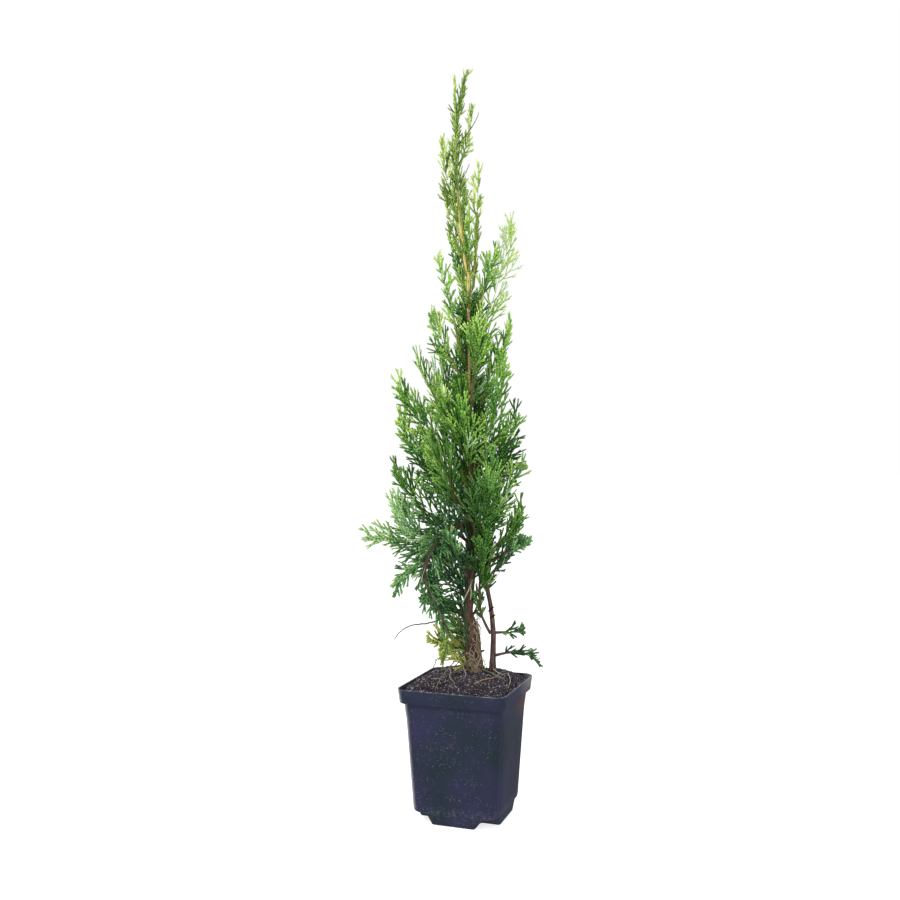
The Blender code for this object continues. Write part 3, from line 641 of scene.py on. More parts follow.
def limbPaths():
    flare, flareHeight = plant["flare"], plant["flareHeight"]
    points = smoothPath([(x, y, z) for z, x, y in plant["trunkLean"]], plant["stepAlong"] * 1.7)
    share = points[:, 2] / points[-1, 2]
    radii = plant["trunkFootRadius"] + (plant["trunkTipRadius"] - plant["trunkFootRadius"]) * share
    limbs = {"trunk": (points, radii + flare * np.exp(-points[:, 2] / flareHeight))}
    strand = smoothPath([(x, y, z) for z, x, y in plant["strandLean"]], plant["stepAlong"])
    radii = np.linspace(*plant["strandRadius"], len(strand))
    limbs["strand"] = (strand, radii + flare * np.exp(-strand[:, 2] / flareHeight))
    for name, (on, height, ends, through) in limbPlan.items():
        knots = [np.array(knot, float) for knot in through]
        if on:
            knots.insert(0, springingPoint(limbs[on], height, knots[0], ends[0]))
        points = smoothPath(knots, plant["stepAlong"])
        radii = np.linspace(*ends, len(points))
        if not on:
            radii = radii + flare / 2 * np.exp(-points[:, 2] / flareHeight)
        limbs[name] = (points, radii)
    return limbs


def barkRings(points, radii, step, sides, rough, seed):  # rings with long fibres, furrows and knots
    line, thick, along = refined(points, radii, step)
    tangents = np.gradient(line, along, axis=0)
    side = unit(np.cross(tangents[0], (0.3, 1, 0.1)))
    rings = []
    for centre, tangent, radius, s in zip(line, tangents, thick, along):
        tangent = unit(tangent)
        side = unit(side - tangent * (side @ tangent))
        other = np.cross(tangent, side)
        ring = []
        for corner in range(sides):
            turn = 2 * math.pi * corner / sides
            x, y = math.cos(turn) * radius, math.sin(turn) * radius
            fibre, strip, crack, knot = (
                noise.noise(Vector((x / across, y / across, s / long + shift * seed)))
                for across, long, shift in ((0.75, 11, 1), (1.9, 24, 7.3), (1.1, 3.2, 3.1), (3.5, 4.5, 1.7))
            )
            relief = 0.085 * (1 - abs(fibre) * 2) + 0.12 * strip + 0.05 * crack + 0.1 * max(0, knot - 0.15)
            reach = radius * (1 + rough * relief) - 0.04 * rough * radius
            ring.append(centre + (side * math.cos(turn) + other * math.sin(turn)) * reach)
        rings.append(toWorld(ring))
    return rings


def thujaBark(name, grooves, ridges):
    # Bark of a young thuja: thin, matt and fibrous, peeling in long strips, with paler ridges between
    # darker grooves. Both change up the plant, so each is a row of colours by share of its height.
    material, tree, shader = newMaterial(name, {"Roughness": 0.82, "Specular IOR Level": 0.3})
    place = addNode(tree, "TexCoord").outputs["Object"]
    height = addNode(tree, "SeparateXYZ", {"Vector": place}).outputs["Z"]
    share = addNode(tree, "MapRange", {"From Min": 113 * mm, "From Max": 611 * mm, "Value": height})
    wander = addNode(tree, "TexNoise", {"Scale": 60.0, "Detail": 2.0, "Vector": place})
    shift = addNode(tree, "Math", {"operation": "MULTIPLY_ADD", 0: wander, 1: 0.08, 2: share})
    drawnOut = addNode(tree, "Mapping", {
        "Scale": (1 / (0.8 * mm), 1 / (0.8 * mm), 1 / (11 * mm)), "Vector": place})
    fibres = addNode(tree, "TexNoise", {"Scale": 1.0, "Detail": 5.0, "Roughness": 0.65, "Vector": drawnOut})
    mixed = addNode(tree, "Mix", {
        "data_type": "RGBA",
        "Factor": addNode(tree, "ValToRGB", {"Fac": fibres}, ((0.36, 0.0), (0.64, 1.0))),
        6: addNode(tree, "ValToRGB", {"Fac": shift}, grooves),
        7: addNode(tree, "ValToRGB", {"Fac": shift}, ridges),
    })
    setNode(tree, shader, {
        "Base Color": mixed.outputs[2],
        "Normal": addNode(tree, "Bump", {"Strength": 0.7, "Distance": 0.25 * mm, "Height": fibres}),
    })
    return material


def makeLimbs():
    for piece, names, sides, rough, bark, stoodFor in (
        ("trunkBark", ("trunk", "strand"), 34, 1.0, trunkFinish, ["trunk"]),
        ("boughBark", tuple(limbPlan), 22, 0.9, youngFinish, list(limbPlan)),
    ):
        bm = bmesh.new()
        for seed, name in enumerate(names, 1):
            loft(bm, barkRings(*limbs[name], plant["ringStep"], sides, rough, seed))
        makePiece(piece, bm, bark, stoodFor)


limbs = limbPaths()
trunkFinish = thujaBark("fibrousTrunkBark", (  # dark purple-brown at the foot, smooth tan wood above
    (0.04, "#2a1a18"), (0.16, "#2e1e1a"), (0.27, "#2a1c18"), (0.42, "#4c3424"), (0.53, "#b08a56"),
    (0.76, "#b8984e"), (0.86, "#557030")), (
    (0.04, "#846a5c"), (0.16, "#785a4a"), (0.27, "#624a3e"), (0.42, "#8c6a4c"), (0.53, "#f2d8a4"),
    (0.76, "#ecd890"), (0.86, "#8ea650")))
youngFinish = thujaBark("fibrousTwigBark", (  # grey-brown on the boughs, and olive where they are young
    (0.04, "#221718"), (0.2, "#261b1a"), (0.3, "#2c2019"), (0.45, "#443820"), (0.7, "#4e5a26"),
    (0.86, "#557030")), (
    (0.04, "#7c625a"), (0.2, "#68524a"), (0.3, "#604c3c"), (0.45, "#806c42"), (0.7, "#8c9448"),
    (0.86, "#8ea650")))
makeLimbs()
print("limbs: trunk and boughs are made")


# Each mass, whose node has foliage_ before its name: the limb and the height it springs from (None is
# the limb's own tip), the tip that it reaches, the length of its longest side spray, the roll of its
# plane in degrees, how early its stem rises, its tone (0 is the deepest green, 1 the brightest) and its
# share of the finer sprays, under 1 where it is airy.
massPlan = {
    "foot_left": ("trunk", 23, (-32, -6, 29), 20, 35, 0.9, 0.75, 1),
    "foot_right": ("right_stem", 17, (60, 2, 6), 12, 20, -1.2, -0.05, 0.8),
    "twig_right": ("right_stem", 34, (48, 3, 34), 11, -15, 0.9, 0.1, 0.45),
    "hanging_left": ("left_bough", None, (-21, -13, 13), 13, 30, 0.6, 0.4, 1),
    "low_left": ("left_bough", 92, (-58, -14, 75), 20, 25, 0.5, 0.4, 0.65),
    "inner_left": ("left_bough", 58, (-37, -8, 62), 13, 20, 0.9, 0.4, 1),
    "low_front": ("trunk", 42, (-30, 1, 58), 22, 50, 0.7, 0.3, 1),
    "inner_right": ("thin_stem", None, (17, -16, 120), 22, 40, 0.5, 0.35, 1),
    "long_left": ("left_low_bough", None, (-86, -7, 111), 25, 12, 0.35, 0.6, 0.8),
    "front_low": ("trunk", 74, (-14, -32, 118), 32, 75, 0.5, 0.3, 1),
    "back_low": ("trunk", 66, (-24, 36, 106), 28, 40, 0.4, 0.3, 1),
    "back_right_low": ("right_stem", 76, (38, 26, 112), 26, 30, 0.4, 0.3, 1),
    "fork": ("right_fork", None, (52, -11, 111), 11, 10, 0.5, 0.45, 1),
    "right_low": ("right_stem", 102, (46, 0, 138), 21, 5, 0.3, 0.4, 1),
    "right_middle": ("right_stem", None, (48, -8, 173), 29, 0, 0.45, 0.45, 0.85),
    "front_left_low": ("middle_bough", None, (-32, -30, 188), 36, 30, 0.4, 0.6, 1),
    "left_low": ("trunk", 104, (-61, 5, 171), 30, 8, 0.58, 0.35, 1),
    "left_front_low": ("left_bough", 108, (-60, -22, 141), 27, 15, 0.58, 0.5, 0.6),
    "front_right_low": ("trunk", 112, (21, -34, 180), 36, 55, 0.35, 0.4, 1),
    "back_middle": ("back_bough", None, (2, 46, 166), 34, 45, 0.4, 0.35, 1),
    "back_right": ("trunk", 116, (34, 32, 190), 34, 30, 0.35, 0.35, 1),
    "back_left": ("trunk", 124, (-34, 36, 194), 36, -30, 0.4, 0.35, 1),
    "left_middle": ("trunk", 140, (-57, 4, 211), 28, -8, 0.56, 0.35, 1),
    "left_outer": ("trunk", 168, (-57, -8, 239), 27, 8, 0.66, 0.45, 0.8),
    "right_outer": ("trunk", 146, (43, -2, 215), 26, 5, 0.48, 0.4, 0.8),
    "front": ("trunk", 162, (-4, -38, 226), 34, 65, 0.35, 0.5, 1),
    "front_left": ("trunk", 178, (-24, -30, 246), 36, 60, 0.35, 0.7, 1),
    "front_right": ("trunk", 161, (31, -22, 254), 33, 45, 0.35, 0.5, 1),
    "back_right_upper": ("trunk", 190, (20, 34, 266), 32, 35, 0.35, 0.4, 1),
    "back_left_upper": ("trunk", 202, (-24, 32, 274), 32, -35, 0.35, 0.4, 1),
    "left_front": ("trunk", 196, (-41, -19, 260), 28, 22, 0.58, 0.65, 1),
    "right_upper": ("trunk", 208, (37, 2, 292), 23, -5, 0.68, 0.5, 0.6),
    "front_upper": ("front_bough", None, (12, -27, 292), 27, 60, 0.45, 0.55, 1),
    "left_upper": ("trunk", 234, (-31, 4, 298), 21, 0, 0.72, 0.5, 0.8),
    "left_slender": ("left_upper_bough", None, (-24, -9, 343), 18, 15, 0.65, 0.5, 0.8),
    "right_inner": ("right_leader", None, (26, -7, 352), 18, 10, 0.6, 0.5, 0.7),
    "right_airy": ("trunk", 262, (39, 12, 375), 26, -10, 0.68, 0.8, 0.55),
    "back_slender": ("trunk", 278, (-3, 24, 352), 19, 45, 0.35, 0.5, 1),
    "left_high": ("trunk", 312, (-15, 3, 367), 15, 5, 0.5, 0.5, 1),
    "front_high": ("trunk", 330, (2, -13, 384), 15, 40, 0.4, 0.6, 1),
    "left_crest": ("trunk", 344, (-19, -1, 403), 12, 10, 0.5, 0.5, 0.6),
    "right_high": ("upper_leader", None, (10, -3, 421), 15, 0, 0.6, 0.55, 0.6),
    "back_high": ("trunk", 364, (-2, 14, 412), 15, 50, 0.4, 0.55, 1),
    "crown_left": ("trunk", 378, (-21, -2, 441), 18, 0, 0.5, 0.5, 1),
    "crown_front": ("trunk", 424, (-10, -6, 491), 16, 10, 0.4, 0.55, 1),
    "crown_right": ("trunk", 426, (5, 2, 470), 13, 0, 0.4, 0.6, 1),
}
massNames = list(massPlan)

growth = {
    "stemRadius": 1.25,
    "stemTipRadius": 0.5,
    "stemPoints": 13,
    "stemOutward": 0.78,
    "stemRingStep": 2.2,
    "barkUpTo": 0.26,  # share of a stem that has turned to bark; the rest is clad in scales
    "greenStemWidth": 1.9,
    "spraySpacing": 27,
    "betweenSprays": 8,  # finer sprays for each of those in the solids
    "sprayAngle": math.radians(32),
    "sprayLift": 0.22,
    "finerLift": 0.3,
    "liftedAbove": 100,
    "endSpray": 0.84,
    "bladeWidth": 0.62,
    "finerBladeWidth": 0.64,
    "branchletSpacing": 4.8,
    "branchletLongest": 30,
    "branchletShortest": 4,
    "twigletSpacing": 10,
    "twigletLongest": 10,
    "twigletShortest": 3,
    "turnOn": 137,  # degrees from one spray round a limb to the next
    "scaleLength": (3.0, 2.6, 2.2),  # on a spray's axis, a branchlet and a twiglet
    "scaleWidth": (2.0, 1.8, 1.55),
    "scaleThickness": 0.8,
    "scaleOverlap": 1.12,
    "widthAtFoot": 1.08,  # the scales are broad low down and slender at the top
    "widthAtTip": 0.76,
    "slenderFrom": 430,
    "clearOfLimb": 0.25,
    "pastTip": 0.5,  # how much further than its mass's tip a spray may end from the trunk
    "tipLight": 0.1,
    "footDark": 0.08,
    # the crown's outline by height, against which the painted shade near the trunk and the painted light
    # outside are measured
    "crownHeights": (0, 60, 110, 240, 300, 400, 500),
    "crownRadii": (46, 60, 70, 56, 38, 25, 10),
    "paleShare": 0.02,
    "palerMass": "right_airy",
    "palerShare": 0.4,
    "palerWidth": 0.78,
    "fewestScales": 30,  # of one tint in one zone, for a piece of their own
    "massSeed": 500,
    "finerSeed": 1000,
    "limbSeed": 90,
    "paleSeed": 7,
    "barkSeed": 20,
}

# Sprays that spring straight from a limb: the limb, the shares of it between which they stand, the
# spacing, the lengths and the angles in degrees at either end, the tone, the mass they belong to, and
# the side that they keep to, if any.
limbSprays = (
    ("trunk", 0.02, 0.075, 0.9, (34, 30), (66, 52), 0.9, "foot_left", "left"),
    ("trunk", 0.05, 0.17, 1.1, (24, 30), (52, 40), 0.36, "low_front", "left"),
    ("trunk", 0.15, 0.3, 2.2, (30, 32), (34, 30), 0.25, "front_low", ""),
    ("trunk", 0.3, 0.58, 1.3, (38, 28), (30, 22), 0.4, "front", ""),
    ("trunk", 0.58, 0.82, 2.4, (21, 17), (28, 23), 0.55, "crown_front", ""),
    ("trunk", 0.82, 0.985, 2.5, (16, 11), (26, 18), 0.6, "crown_front", ""),
    ("strand", 0.7, 1.0, 3, (10, 12), (40, 40), 0.3, "inner_right", "right"),
    ("left_bough", 0.02, 0.4, 1.6, (30, 26), (40, 50), 0.25, "left_front_low", ""),
    ("left_bough", 0.25, 0.66, 0.8, (24, 17), (56, 40), 0.42, "low_left", "left"),
    ("left_bough", 0.66, 0.98, 1.3, (18, 14), (46, 36), 0.34, "inner_left", ""),
    ("left_bough", 0.2, 0.8, 0.9, (22, 20), (50, 44), 0.3, "low_front", "right"),
    ("right_stem", 0.6, 0.98, 2.0, (20, 28), (34, 26), 0.25, "right_low", ""),
    ("thin_stem", 0.3, 0.98, 3, (10, 14), (34, 28), 0.35, "inner_right", ""),
    ("right_fork", 0.2, 1.0, 5, (14, 14), (30, 26), 0.35, "fork", ""),
    ("middle_bough", 0.1, 1.0, 2.2, (26, 26), (36, 28), 0.4, "front_left_low", ""),
    ("left_low_bough", 0.1, 1.0, 4, (22, 24), (44, 34), 0.35, "long_left", ""),
    ("back_bough", 0.1, 1.0, 4.5, (24, 24), (34, 28), 0.3, "back_middle", ""),
    ("front_bough", 0.1, 1.0, 5, (18, 18), (30, 24), 0.5, "front_upper", ""),
    ("left_upper_bough", 0.05, 1.0, 2.6, (17, 16), (30, 24), 0.5, "left_slender", ""),
    ("right_leader", 0.05, 1.0, 2.8, (16, 15), (28, 22), 0.5, "right_inner", ""),
    ("upper_leader", 0.05, 1.0, 3.2, (13, 11), (26, 20), 0.55, "right_high", ""),
    ("trunk", 0.72, 0.96, 3.5, (22, 14), (34, 26), 0.6, "crown_left", "left"),
)

# The zones of the crown, each with the height that the tips of its masses stay under, above the peat.
zoneTops = {"foot": 32, "skirt": 118, "lower": 200, "middle": 280, "upper": 400, "crown": 500}
greyerMasses = ("foot_right", "left_front_low")  # coloured as the skirt is, wherever they end
toneNames = ("deep", "shade", "mid", "fresh", "bright", "pale")
tints = {  # base colours of the leaf, dealt out by spray: greyer at the foot, yellower to the top
    "foot": ("#485c32", "#687e40", "#8ca44a", "#aaba58", "#c8cc7a", "#b8c2a6"),
    "skirt": ("#345a36", "#4a7844", "#629456", "#82ae68", "#a2c684", "#b0c8a6"),
    "lower": ("#33601f", "#4c7c32", "#649640", "#82ae4e", "#a0c662", "#9cc28c"),
    "middle": ("#305e20", "#4a8030", "#659a3e", "#86b44a", "#a8ce5c", "#acd09c"),
    "upper": ("#426e2c", "#5e9038", "#7eac48", "#9cc65a", "#bcd878", "#c2dca6"),
    "crown": ("#5c7c32", "#7c9c40", "#9ab856", "#b4ce6e", "#cade8a", "#cedcb8"),
}


def stemPath(spec):
    on, height, tip, rise = spec[0], spec[1], np.array(spec[2], float), spec[5]
    limb = limbs[on]
    if height is None:
        end = limb[0][-1]
        lead = unit(end - limb[0][-2])
        root = end + lead * plant["gap"]
        bend = root + lead * np.linalg.norm(tip - root) * 0.4
    else:
        root = springingPoint(limb, height, tip, growth["stemRadius"])
        bend = root + (tip - root) * np.array((growth["stemOutward"], growth["stemOutward"], rise))
        root = springingPoint(limb, height, bend, growth["stemRadius"])
    t = np.linspace(0, 1, growth["stemPoints"])[:, None]
    return (1 - t) ** 2 * root + 2 * t * (1 - t) * bend + t**2 * tip


def alongPath(points, share):
    place = share * (len(points) - 1)
    index = min(int(place), len(points) - 2)
    step = points[index + 1] - points[index]
    return points[index] + step * (place - index), unit(step)


def turnedSpray(lead, side, angle, roll, lift=growth["sprayLift"]):
    flat = unit(np.cross(lead, (0, 0.001, 1)))  # level, also where the limb stands upright
    normal = np.array(Matrix.Rotation(math.radians(roll), 3, Vector(lead)) @ Vector(flat))
    heading = math.cos(angle) * lead + side * math.sin(angle) * np.cross(normal, lead)
    heading = unit(heading + abs(side) * lift * np.array((0, 0, 1.0)))
    return heading, unit(np.cross(normal, heading))


def sprayStarts(spec, stem, seed):  # the sprays of the solids, and finer ones between them
    tip, fan, roll, fullness = spec[2], spec[3], spec[4], spec[7]
    stemLength = lengthOf(stem)
    last = max(0.35, 1 - fan * growth["endSpray"] / stemLength)
    count = max(2, round(stemLength * last / growth["spraySpacing"]))
    starts, draw = [], random.Random(seed)
    for index in range(count):
        share = last * (0.2 + 0.8 * (index + 0.5) / count)
        angle = (growth["sprayAngle"] + draw.uniform(-0.1, 0.14)) * (1.1 - 0.35 * share)
        turned = roll + draw.uniform(-9, 9)
        length = fan * (1.12 - 0.5 * share) * draw.uniform(0.88, 1.1)
        blade, lift = growth["bladeWidth"], growth["sprayLift"]
        starts.append((share, index % 2 * 2 - 1, angle, turned, length, blade, lift))
    draw = random.Random(growth["finerSeed"] + seed)
    many = round(count * growth["betweenSprays"] * fullness)
    blade = growth["finerBladeWidth"]
    lift = growth["finerLift"] if tip[2] > growth["liftedAbove"] else growth["sprayLift"]
    for index in range(many):
        share = 0.04 + 0.9 * (index + draw.uniform(0.1, 0.9)) / many
        angle = growth["sprayAngle"] * draw.uniform(0.6, 1.15) * (1.05 - 0.35 * share)
        turned = roll + draw.uniform(-48, 48)
        length = fan * (1.25 - 0.6 * share) * draw.uniform(0.62, 1.12)
        starts.append((share, index % 2 * 2 - 1, angle, turned, length, blade, lift))
    return starts, last


# What is kept of each shoot: its first six are its shape, and level is 0 for a spray's axis, 1 for a
# branchlet and 2 for a twiglet.
shootParts = (
    "start", "heading", "bend", "length", "width", "normal", "level", "tone", "mass", "spray", "branch")


def sideShoot(carrier, at, side, angle, draw):  # where a side shoot leaves its carrier, and which way
    root, lead, bow, length, _, normal = carrier
    share = at / length
    tangent = unit(lead + 2 * bow * share)
    outward = unit(np.cross(normal, tangent)) * side
    way = unit(math.cos(angle) * tangent + math.sin(angle) * outward + normal * draw.uniform(-0.2, 0.2))
    return root + lead * at + bow * at * share, tangent, way


def growSpray(shoots, draw, root, heading, across, length, blade, tone, mass):
    # One flat spray: an axis, branchlets to either side, and short twiglets on the branchlets.
    normal = np.cross(heading, across)
    lift = (np.array((0, 0, 1.0)) - heading * heading[2]) * (0.24 if heading[2] > 0.25 else -0.12)
    bow = across * draw.uniform(-0.09, 0.09) + normal * draw.uniform(-0.1, 0.1) + lift
    slender = (growth["widthAtTip"] - growth["widthAtFoot"]) * min(1, root[2] / growth["slenderFrom"])
    widths = [(growth["widthAtFoot"] + slender) * each for each in growth["scaleWidth"]]
    spray = len(shoots)
    axis = (root, heading - bow, bow, length, widths[0], normal)
    shoots.append((*axis, 0, tone, mass, spray, spray))
    half = 0.5 * max(length * blade, 7)
    steep = min(1, max(0, heading[2]))
    side = draw.choice((-1, 1))
    at = length * 0.1 + draw.uniform(0, 2)
    while at < length - 3:
        share = at / length
        angle = math.radians(35 - 12 * steep + draw.uniform(-6, 6))
        envelope = half * min(1, 1.5 * (1.04 - share)) * min(1, 0.55 + share / 0.3)
        long = min(growth["branchletLongest"], envelope / math.sin(angle)) * draw.uniform(0.5, 1.15)
        long = min(long, (length - at) * 0.95 + 1.5)
        start, tangent, way = sideShoot(axis, at, side, angle, draw)
        curl = (tangent - way * (tangent @ way)) * draw.uniform(0.15, 0.45)
        curl = curl + normal * draw.uniform(-0.08, 0.08)
        if long > growth["branchletShortest"]:
            branch = len(shoots)
            branchlet = (start, way - curl * 0.3, curl, long, widths[1], normal)
            held = (tone + draw.uniform(-0.1, 0.1), mass, spray, branch)
            shoots.append((*branchlet, 1, *held))
            growTwiglets(shoots, draw, branchlet, side, widths[2], held)
        side = -side
        at += growth["branchletSpacing"] * draw.uniform(0.75, 1.35)


def growTwiglets(shoots, draw, carrier, side, width, held):
    length, normal = carrier[3], carrier[5]
    at = length * 0.38 + draw.uniform(0, 4)
    while at < length - 3:
        angle = math.radians(draw.uniform(16, 27))
        start, tangent, way = sideShoot(carrier, at, side, angle, draw)
        long = min(growth["twigletLongest"], (length - at) * 0.9) * draw.uniform(0.65, 1.15)
        if long > growth["twigletShortest"]:
            shoots.append((start, way, (tangent - way) * 0.25, long, width, normal, 2, *held))
        side = -side
        at += growth["twigletSpacing"] * draw.uniform(0.75, 1.4)


def growOnLimb(shoots, draw, plan, mass):
    # Sprays that stand all round a limb, each turned on from the last.
    name, begin, end, spacing, lengths, angles, tone, _, keptSide = plan
    path = limbs[name][0]
    total = lengthOf(path)
    at = begin * total
    turn = draw.uniform(0, 360)
    while at < end * total:
        share = at / total
        part = (share - begin) / (end - begin)
        root, lead = alongPath(path, share)
        length = (lengths[0] + (lengths[1] - lengths[0]) * part) * draw.uniform(0.55, 1.15)
        angle = math.radians(angles[0] + (angles[1] - angles[0]) * part) * draw.uniform(0.75, 1.2)
        heading, across = turnedSpray(lead, 1, angle, turn)
        own = tone + draw.gauss(0, 0.18)
        length = min(length, (plant["trunkLean"][-1][0] - root[2]) / max(heading[2], 0.1))
        kept = {"": True, "left": heading[0] < -0.15, "right": heading[0] > 0.15}[keptSide]
        if kept and length > growth["branchletShortest"]:
            growSpray(shoots, draw, root, heading, across, length, growth["finerBladeWidth"], own, mass)
        turn += growth["turnOn"] + draw.uniform(-20, 20)
        at += spacing * draw.uniform(0.7, 1.3)


def outFromTrunk(points):
    trunk = limbs["trunk"][0]
    axis = np.stack([np.interp(points[..., 2], trunk[:, 2], trunk[:, each]) for each in (0, 1)], axis=-1)
    return np.linalg.norm(points[..., :2] - axis, axis=-1)


def withinReach(root, heading, length, tip):  # a spray ends no further from the trunk than its mass's tip
    start, end, limit = outFromTrunk(np.array((root, root + heading * length, tip)))
    if end < limit + growth["pastTip"]:
        return length
    return length * max(0.35, (limit + growth["pastTip"] - start) / (end - start))


def growMasses():
    shoots, stems = [], {}
    for mass, (name, spec) in enumerate(massPlan.items()):
        tip, roll, tone = spec[2], spec[4], spec[6]
        stem = stems[name] = stemPath(spec)
        draw = random.Random(growth["massSeed"] + mass)
        starts, last = sprayStarts(spec, stem, mass)
        for share, side, angle, turned, length, blade, lift in starts:
            root, lead = alongPath(stem, share)
            heading, across = turnedSpray(lead, side, angle, turned, lift)
            length = withinReach(root, heading, length, tip)
            # painted shade: sprays near the stem's foot, deeper in the crown, darker, and those near its tip
            # lighter
            own = tone + draw.gauss(0, 0.2) + 0.16 * (share - 0.5)
            growSpray(shoots, draw, root, heading, across, length, blade, own, mass)
        root = alongPath(stem, last)[0]
        reach = np.linalg.norm(stem[-1] - root)
        heading, across = turnedSpray((stem[-1] - root) / reach, 0, 0, roll)
        # painted light: the spray at the stem's tip, outermost, a little lighter
        growSpray(shoots, draw, root, heading, across, reach, growth["finerBladeWidth"], tone + 0.1, mass)
        green = stem[int(growth["barkUpTo"] * (growth["stemPoints"] - 1)):]
        for start, end in zip(green, green[1:]):
            step = np.linalg.norm(end - start)
            shape = (start, (end - start) / step, np.zeros(3), step, growth["greenStemWidth"], across)
            shoots.append((*shape, 0, tone - 0.1, mass, len(shoots), len(shoots)))
    for seed, plan in enumerate(limbSprays):
        draw = random.Random(growth["limbSeed"] + seed)
        growOnLimb(shoots, draw, plan, massNames.index(plan[7]))
    return {name: np.array(values) for name, values in zip(shootParts, zip(*shoots))}, stems


def dropTouching(shoots):  # leaves out shoots that run into a limb, with all that they carry
    touching = np.zeros(len(shoots["level"]), bool)
    for share in (0.65, 1.0):
        bent = shoots["heading"] * share + shoots["bend"] * share**2
        place = shoots["start"] + bent * shoots["length"][:, None]
        for points, radii in limbs.values():
            line, thick, _ = refined(points, radii, 3)
            for begin in range(0, len(place), 4000):
                block = slice(begin, begin + 4000)
                apart = np.linalg.norm(place[block, None] - line, axis=2) - thick
                touching[block] |= apart.min(axis=1) < growth["clearOfLimb"]
    gone = touching.copy()
    for level, carrier in enumerate(("spray", "branch")):
        gone |= np.isin(shoots[carrier], shoots[carrier][touching & (shoots["level"] == level)])
    return {name: values[~gone] for name, values in shoots.items()}


def units(vectors):
    return vectors / np.linalg.norm(vectors, axis=1, keepdims=True)


def expandShoots(shoots):  # one row for each scale segment along each shoot
    step = np.array(growth["scaleLength"])[shoots["level"]]
    count = np.maximum(2, np.round(shoots["length"] / step)).astype(int)
    owner = np.repeat(np.arange(len(count)), count)
    row = {name: values[owner] for name, values in shoots.items()}
    index = np.arange(len(owner)) - (np.cumsum(count) - count)[owner]
    total = count[owner]
    share = index / total
    length = row["length"][:, None]
    place = row["start"] + row["heading"] * length * share[:, None]
    place = place + row["bend"] * length * share[:, None] ** 2
    tangent = units(row["heading"] + 2 * row["bend"] * (share + 0.5 / total)[:, None])
    normal = row["normal"] - tangent * (row["normal"] * tangent).sum(axis=1, keepdims=True)
    normal = units(normal)
    return {
        "place": place, "axes": (tangent, np.cross(normal, tangent), normal),
        "long": row["length"] / total * growth["scaleOverlap"],
        "width": row["width"] * (1 - 0.45 * share**2),
        "tone": row["tone"], "mass": row["mass"], "spray": row["spray"],
        "fromTip": total - 1 - index, "share": share,
    }


# One pair of scale leaves: a base, two shoulders and a tip, and a ridge on either face.
scalePoints = np.array([
    (0, 0.44, 0), (0, -0.44, 0), (0.74, -0.5, 0), (1.14, 0, 0), (0.74, 0.5, 0),
    (0.55, 0, 0.5), (0.55, 0, -0.5),
])
edge = range(5)
scaleFaces = np.array([(5, a, (a + 1) % 5) for a in edge] + [(6, (a + 1) % 5, a) for a in edge])


def toneOf(parts):  # each spray's tone: painted shade darker by the trunk and painted light lighter outside, a few of them pale
    reach = np.interp(parts["place"][:, 2], growth["crownHeights"], growth["crownRadii"])
    outward = np.minimum(outFromTrunk(parts["place"]) / reach, 1.1)
    # painted shade inside the crown, painted light at its outside
    tone = 0.48 + (parts["tone"] - 0.5) * 0.95 + 0.4 * (outward - 0.6)
    tone = tone + growth["tipLight"] * np.maximum(0, 1 - parts["fromTip"] / 3)
    tone = tone - growth["footDark"] * (parts["share"] < 0.4)
    darkToLight = len(toneNames) - 1
    bucket = np.clip((tone * darkToLight).astype(int), 0, darkToLight - 1)
    luck = np.random.default_rng(growth["paleSeed"]).random(parts["spray"].max() + 1)[parts["spray"]]
    paler = parts["mass"] == massNames.index(growth["palerMass"])
    return np.where(luck < np.where(paler, growth["palerShare"], growth["paleShare"]), darkToLight, bucket)


def leafMaterial(name, colour):
    # Thuja scale leaves: small, overlapping and waxy, so each catches a soft point of light.
    return newMaterial(f"waxyScaleLeaf_{name}", {
        "Base Color": colour, "Roughness": 0.5, "Specular IOR Level": 0.35, "IOR": 1.45,
    })[0]


def makeFoliage():
    shoots, stems = growMasses()
    grown = len(shoots["level"])
    shoots = dropTouching(shoots)
    parts = expandShoots(shoots)
    tipHeights = [spec[2][2] for spec in massPlan.values()]
    zones = np.searchsorted(list(zoneTops.values()), tipHeights)
    zones[[massNames.index(name) for name in greyerMasses]] = list(zoneTops).index("skirt")
    zones = zones[parts["mass"]]
    bucket = toneOf(parts)
    paler = parts["mass"] == massNames.index(growth["palerMass"])
    width = np.where(paler, growth["palerWidth"], 1) * parts["width"]
    thick = np.full(len(width), growth["scaleThickness"])
    local = scalePoints[None] * np.stack((parts["long"], width, thick), axis=1)[:, None, :]
    points = parts["place"][:, None]
    for each, axis in enumerate(parts["axes"]):
        points = points + local[..., each:each + 1] * axis[:, None]
    points = toWorld(points)
    kept, triangles = len(shoots["level"]), len(points) * len(scaleFaces)
    print("foliage:", grown, "grown,", kept, "shoots,", triangles, "triangles")
    for zone, zoneName in enumerate(zoneTops):
        for index, toneName in enumerate(toneNames):
            chosen = (zones == zone) & (bucket == index)
            if chosen.sum() < growth["fewestScales"]:
                continue
            held = sorted({f"foliage_{massNames[mass]}" for mass in parts["mass"][chosen]})
            finish = leafMaterial(f"{zoneName}_{toneName}", tints[zoneName][index])
            name = f"leaves_{zoneName}_{toneName}"
            placePiece(name, joinedMesh(name, points[chosen], scaleFaces), finish, held)
    return stems


def makeStems(stems):
    bm = bmesh.new()
    last = int(growth["barkUpTo"] * (growth["stemPoints"] - 1)) + 1
    for seed, stem in enumerate(stems.values(), growth["barkSeed"]):
        radii = np.linspace(growth["stemRadius"], growth["stemTipRadius"], len(stem))
        root = stem[0] - unit(stem[1] - stem[0]) * 1.5
        path = np.concatenate(([root], stem[:last]))
        radii = np.concatenate(([growth["stemRadius"] * 1.15], radii[:last] * np.linspace(1, 0.8, last)))
        loft(bm, barkRings(path, radii, growth["stemRingStep"], 9, 0.7, seed))
    makePiece("massStems", bm, youngFinish, [f"foliage_{name}" for name in stems])


makeStems(makeFoliage())
print("foliage: sprays and stems are made")


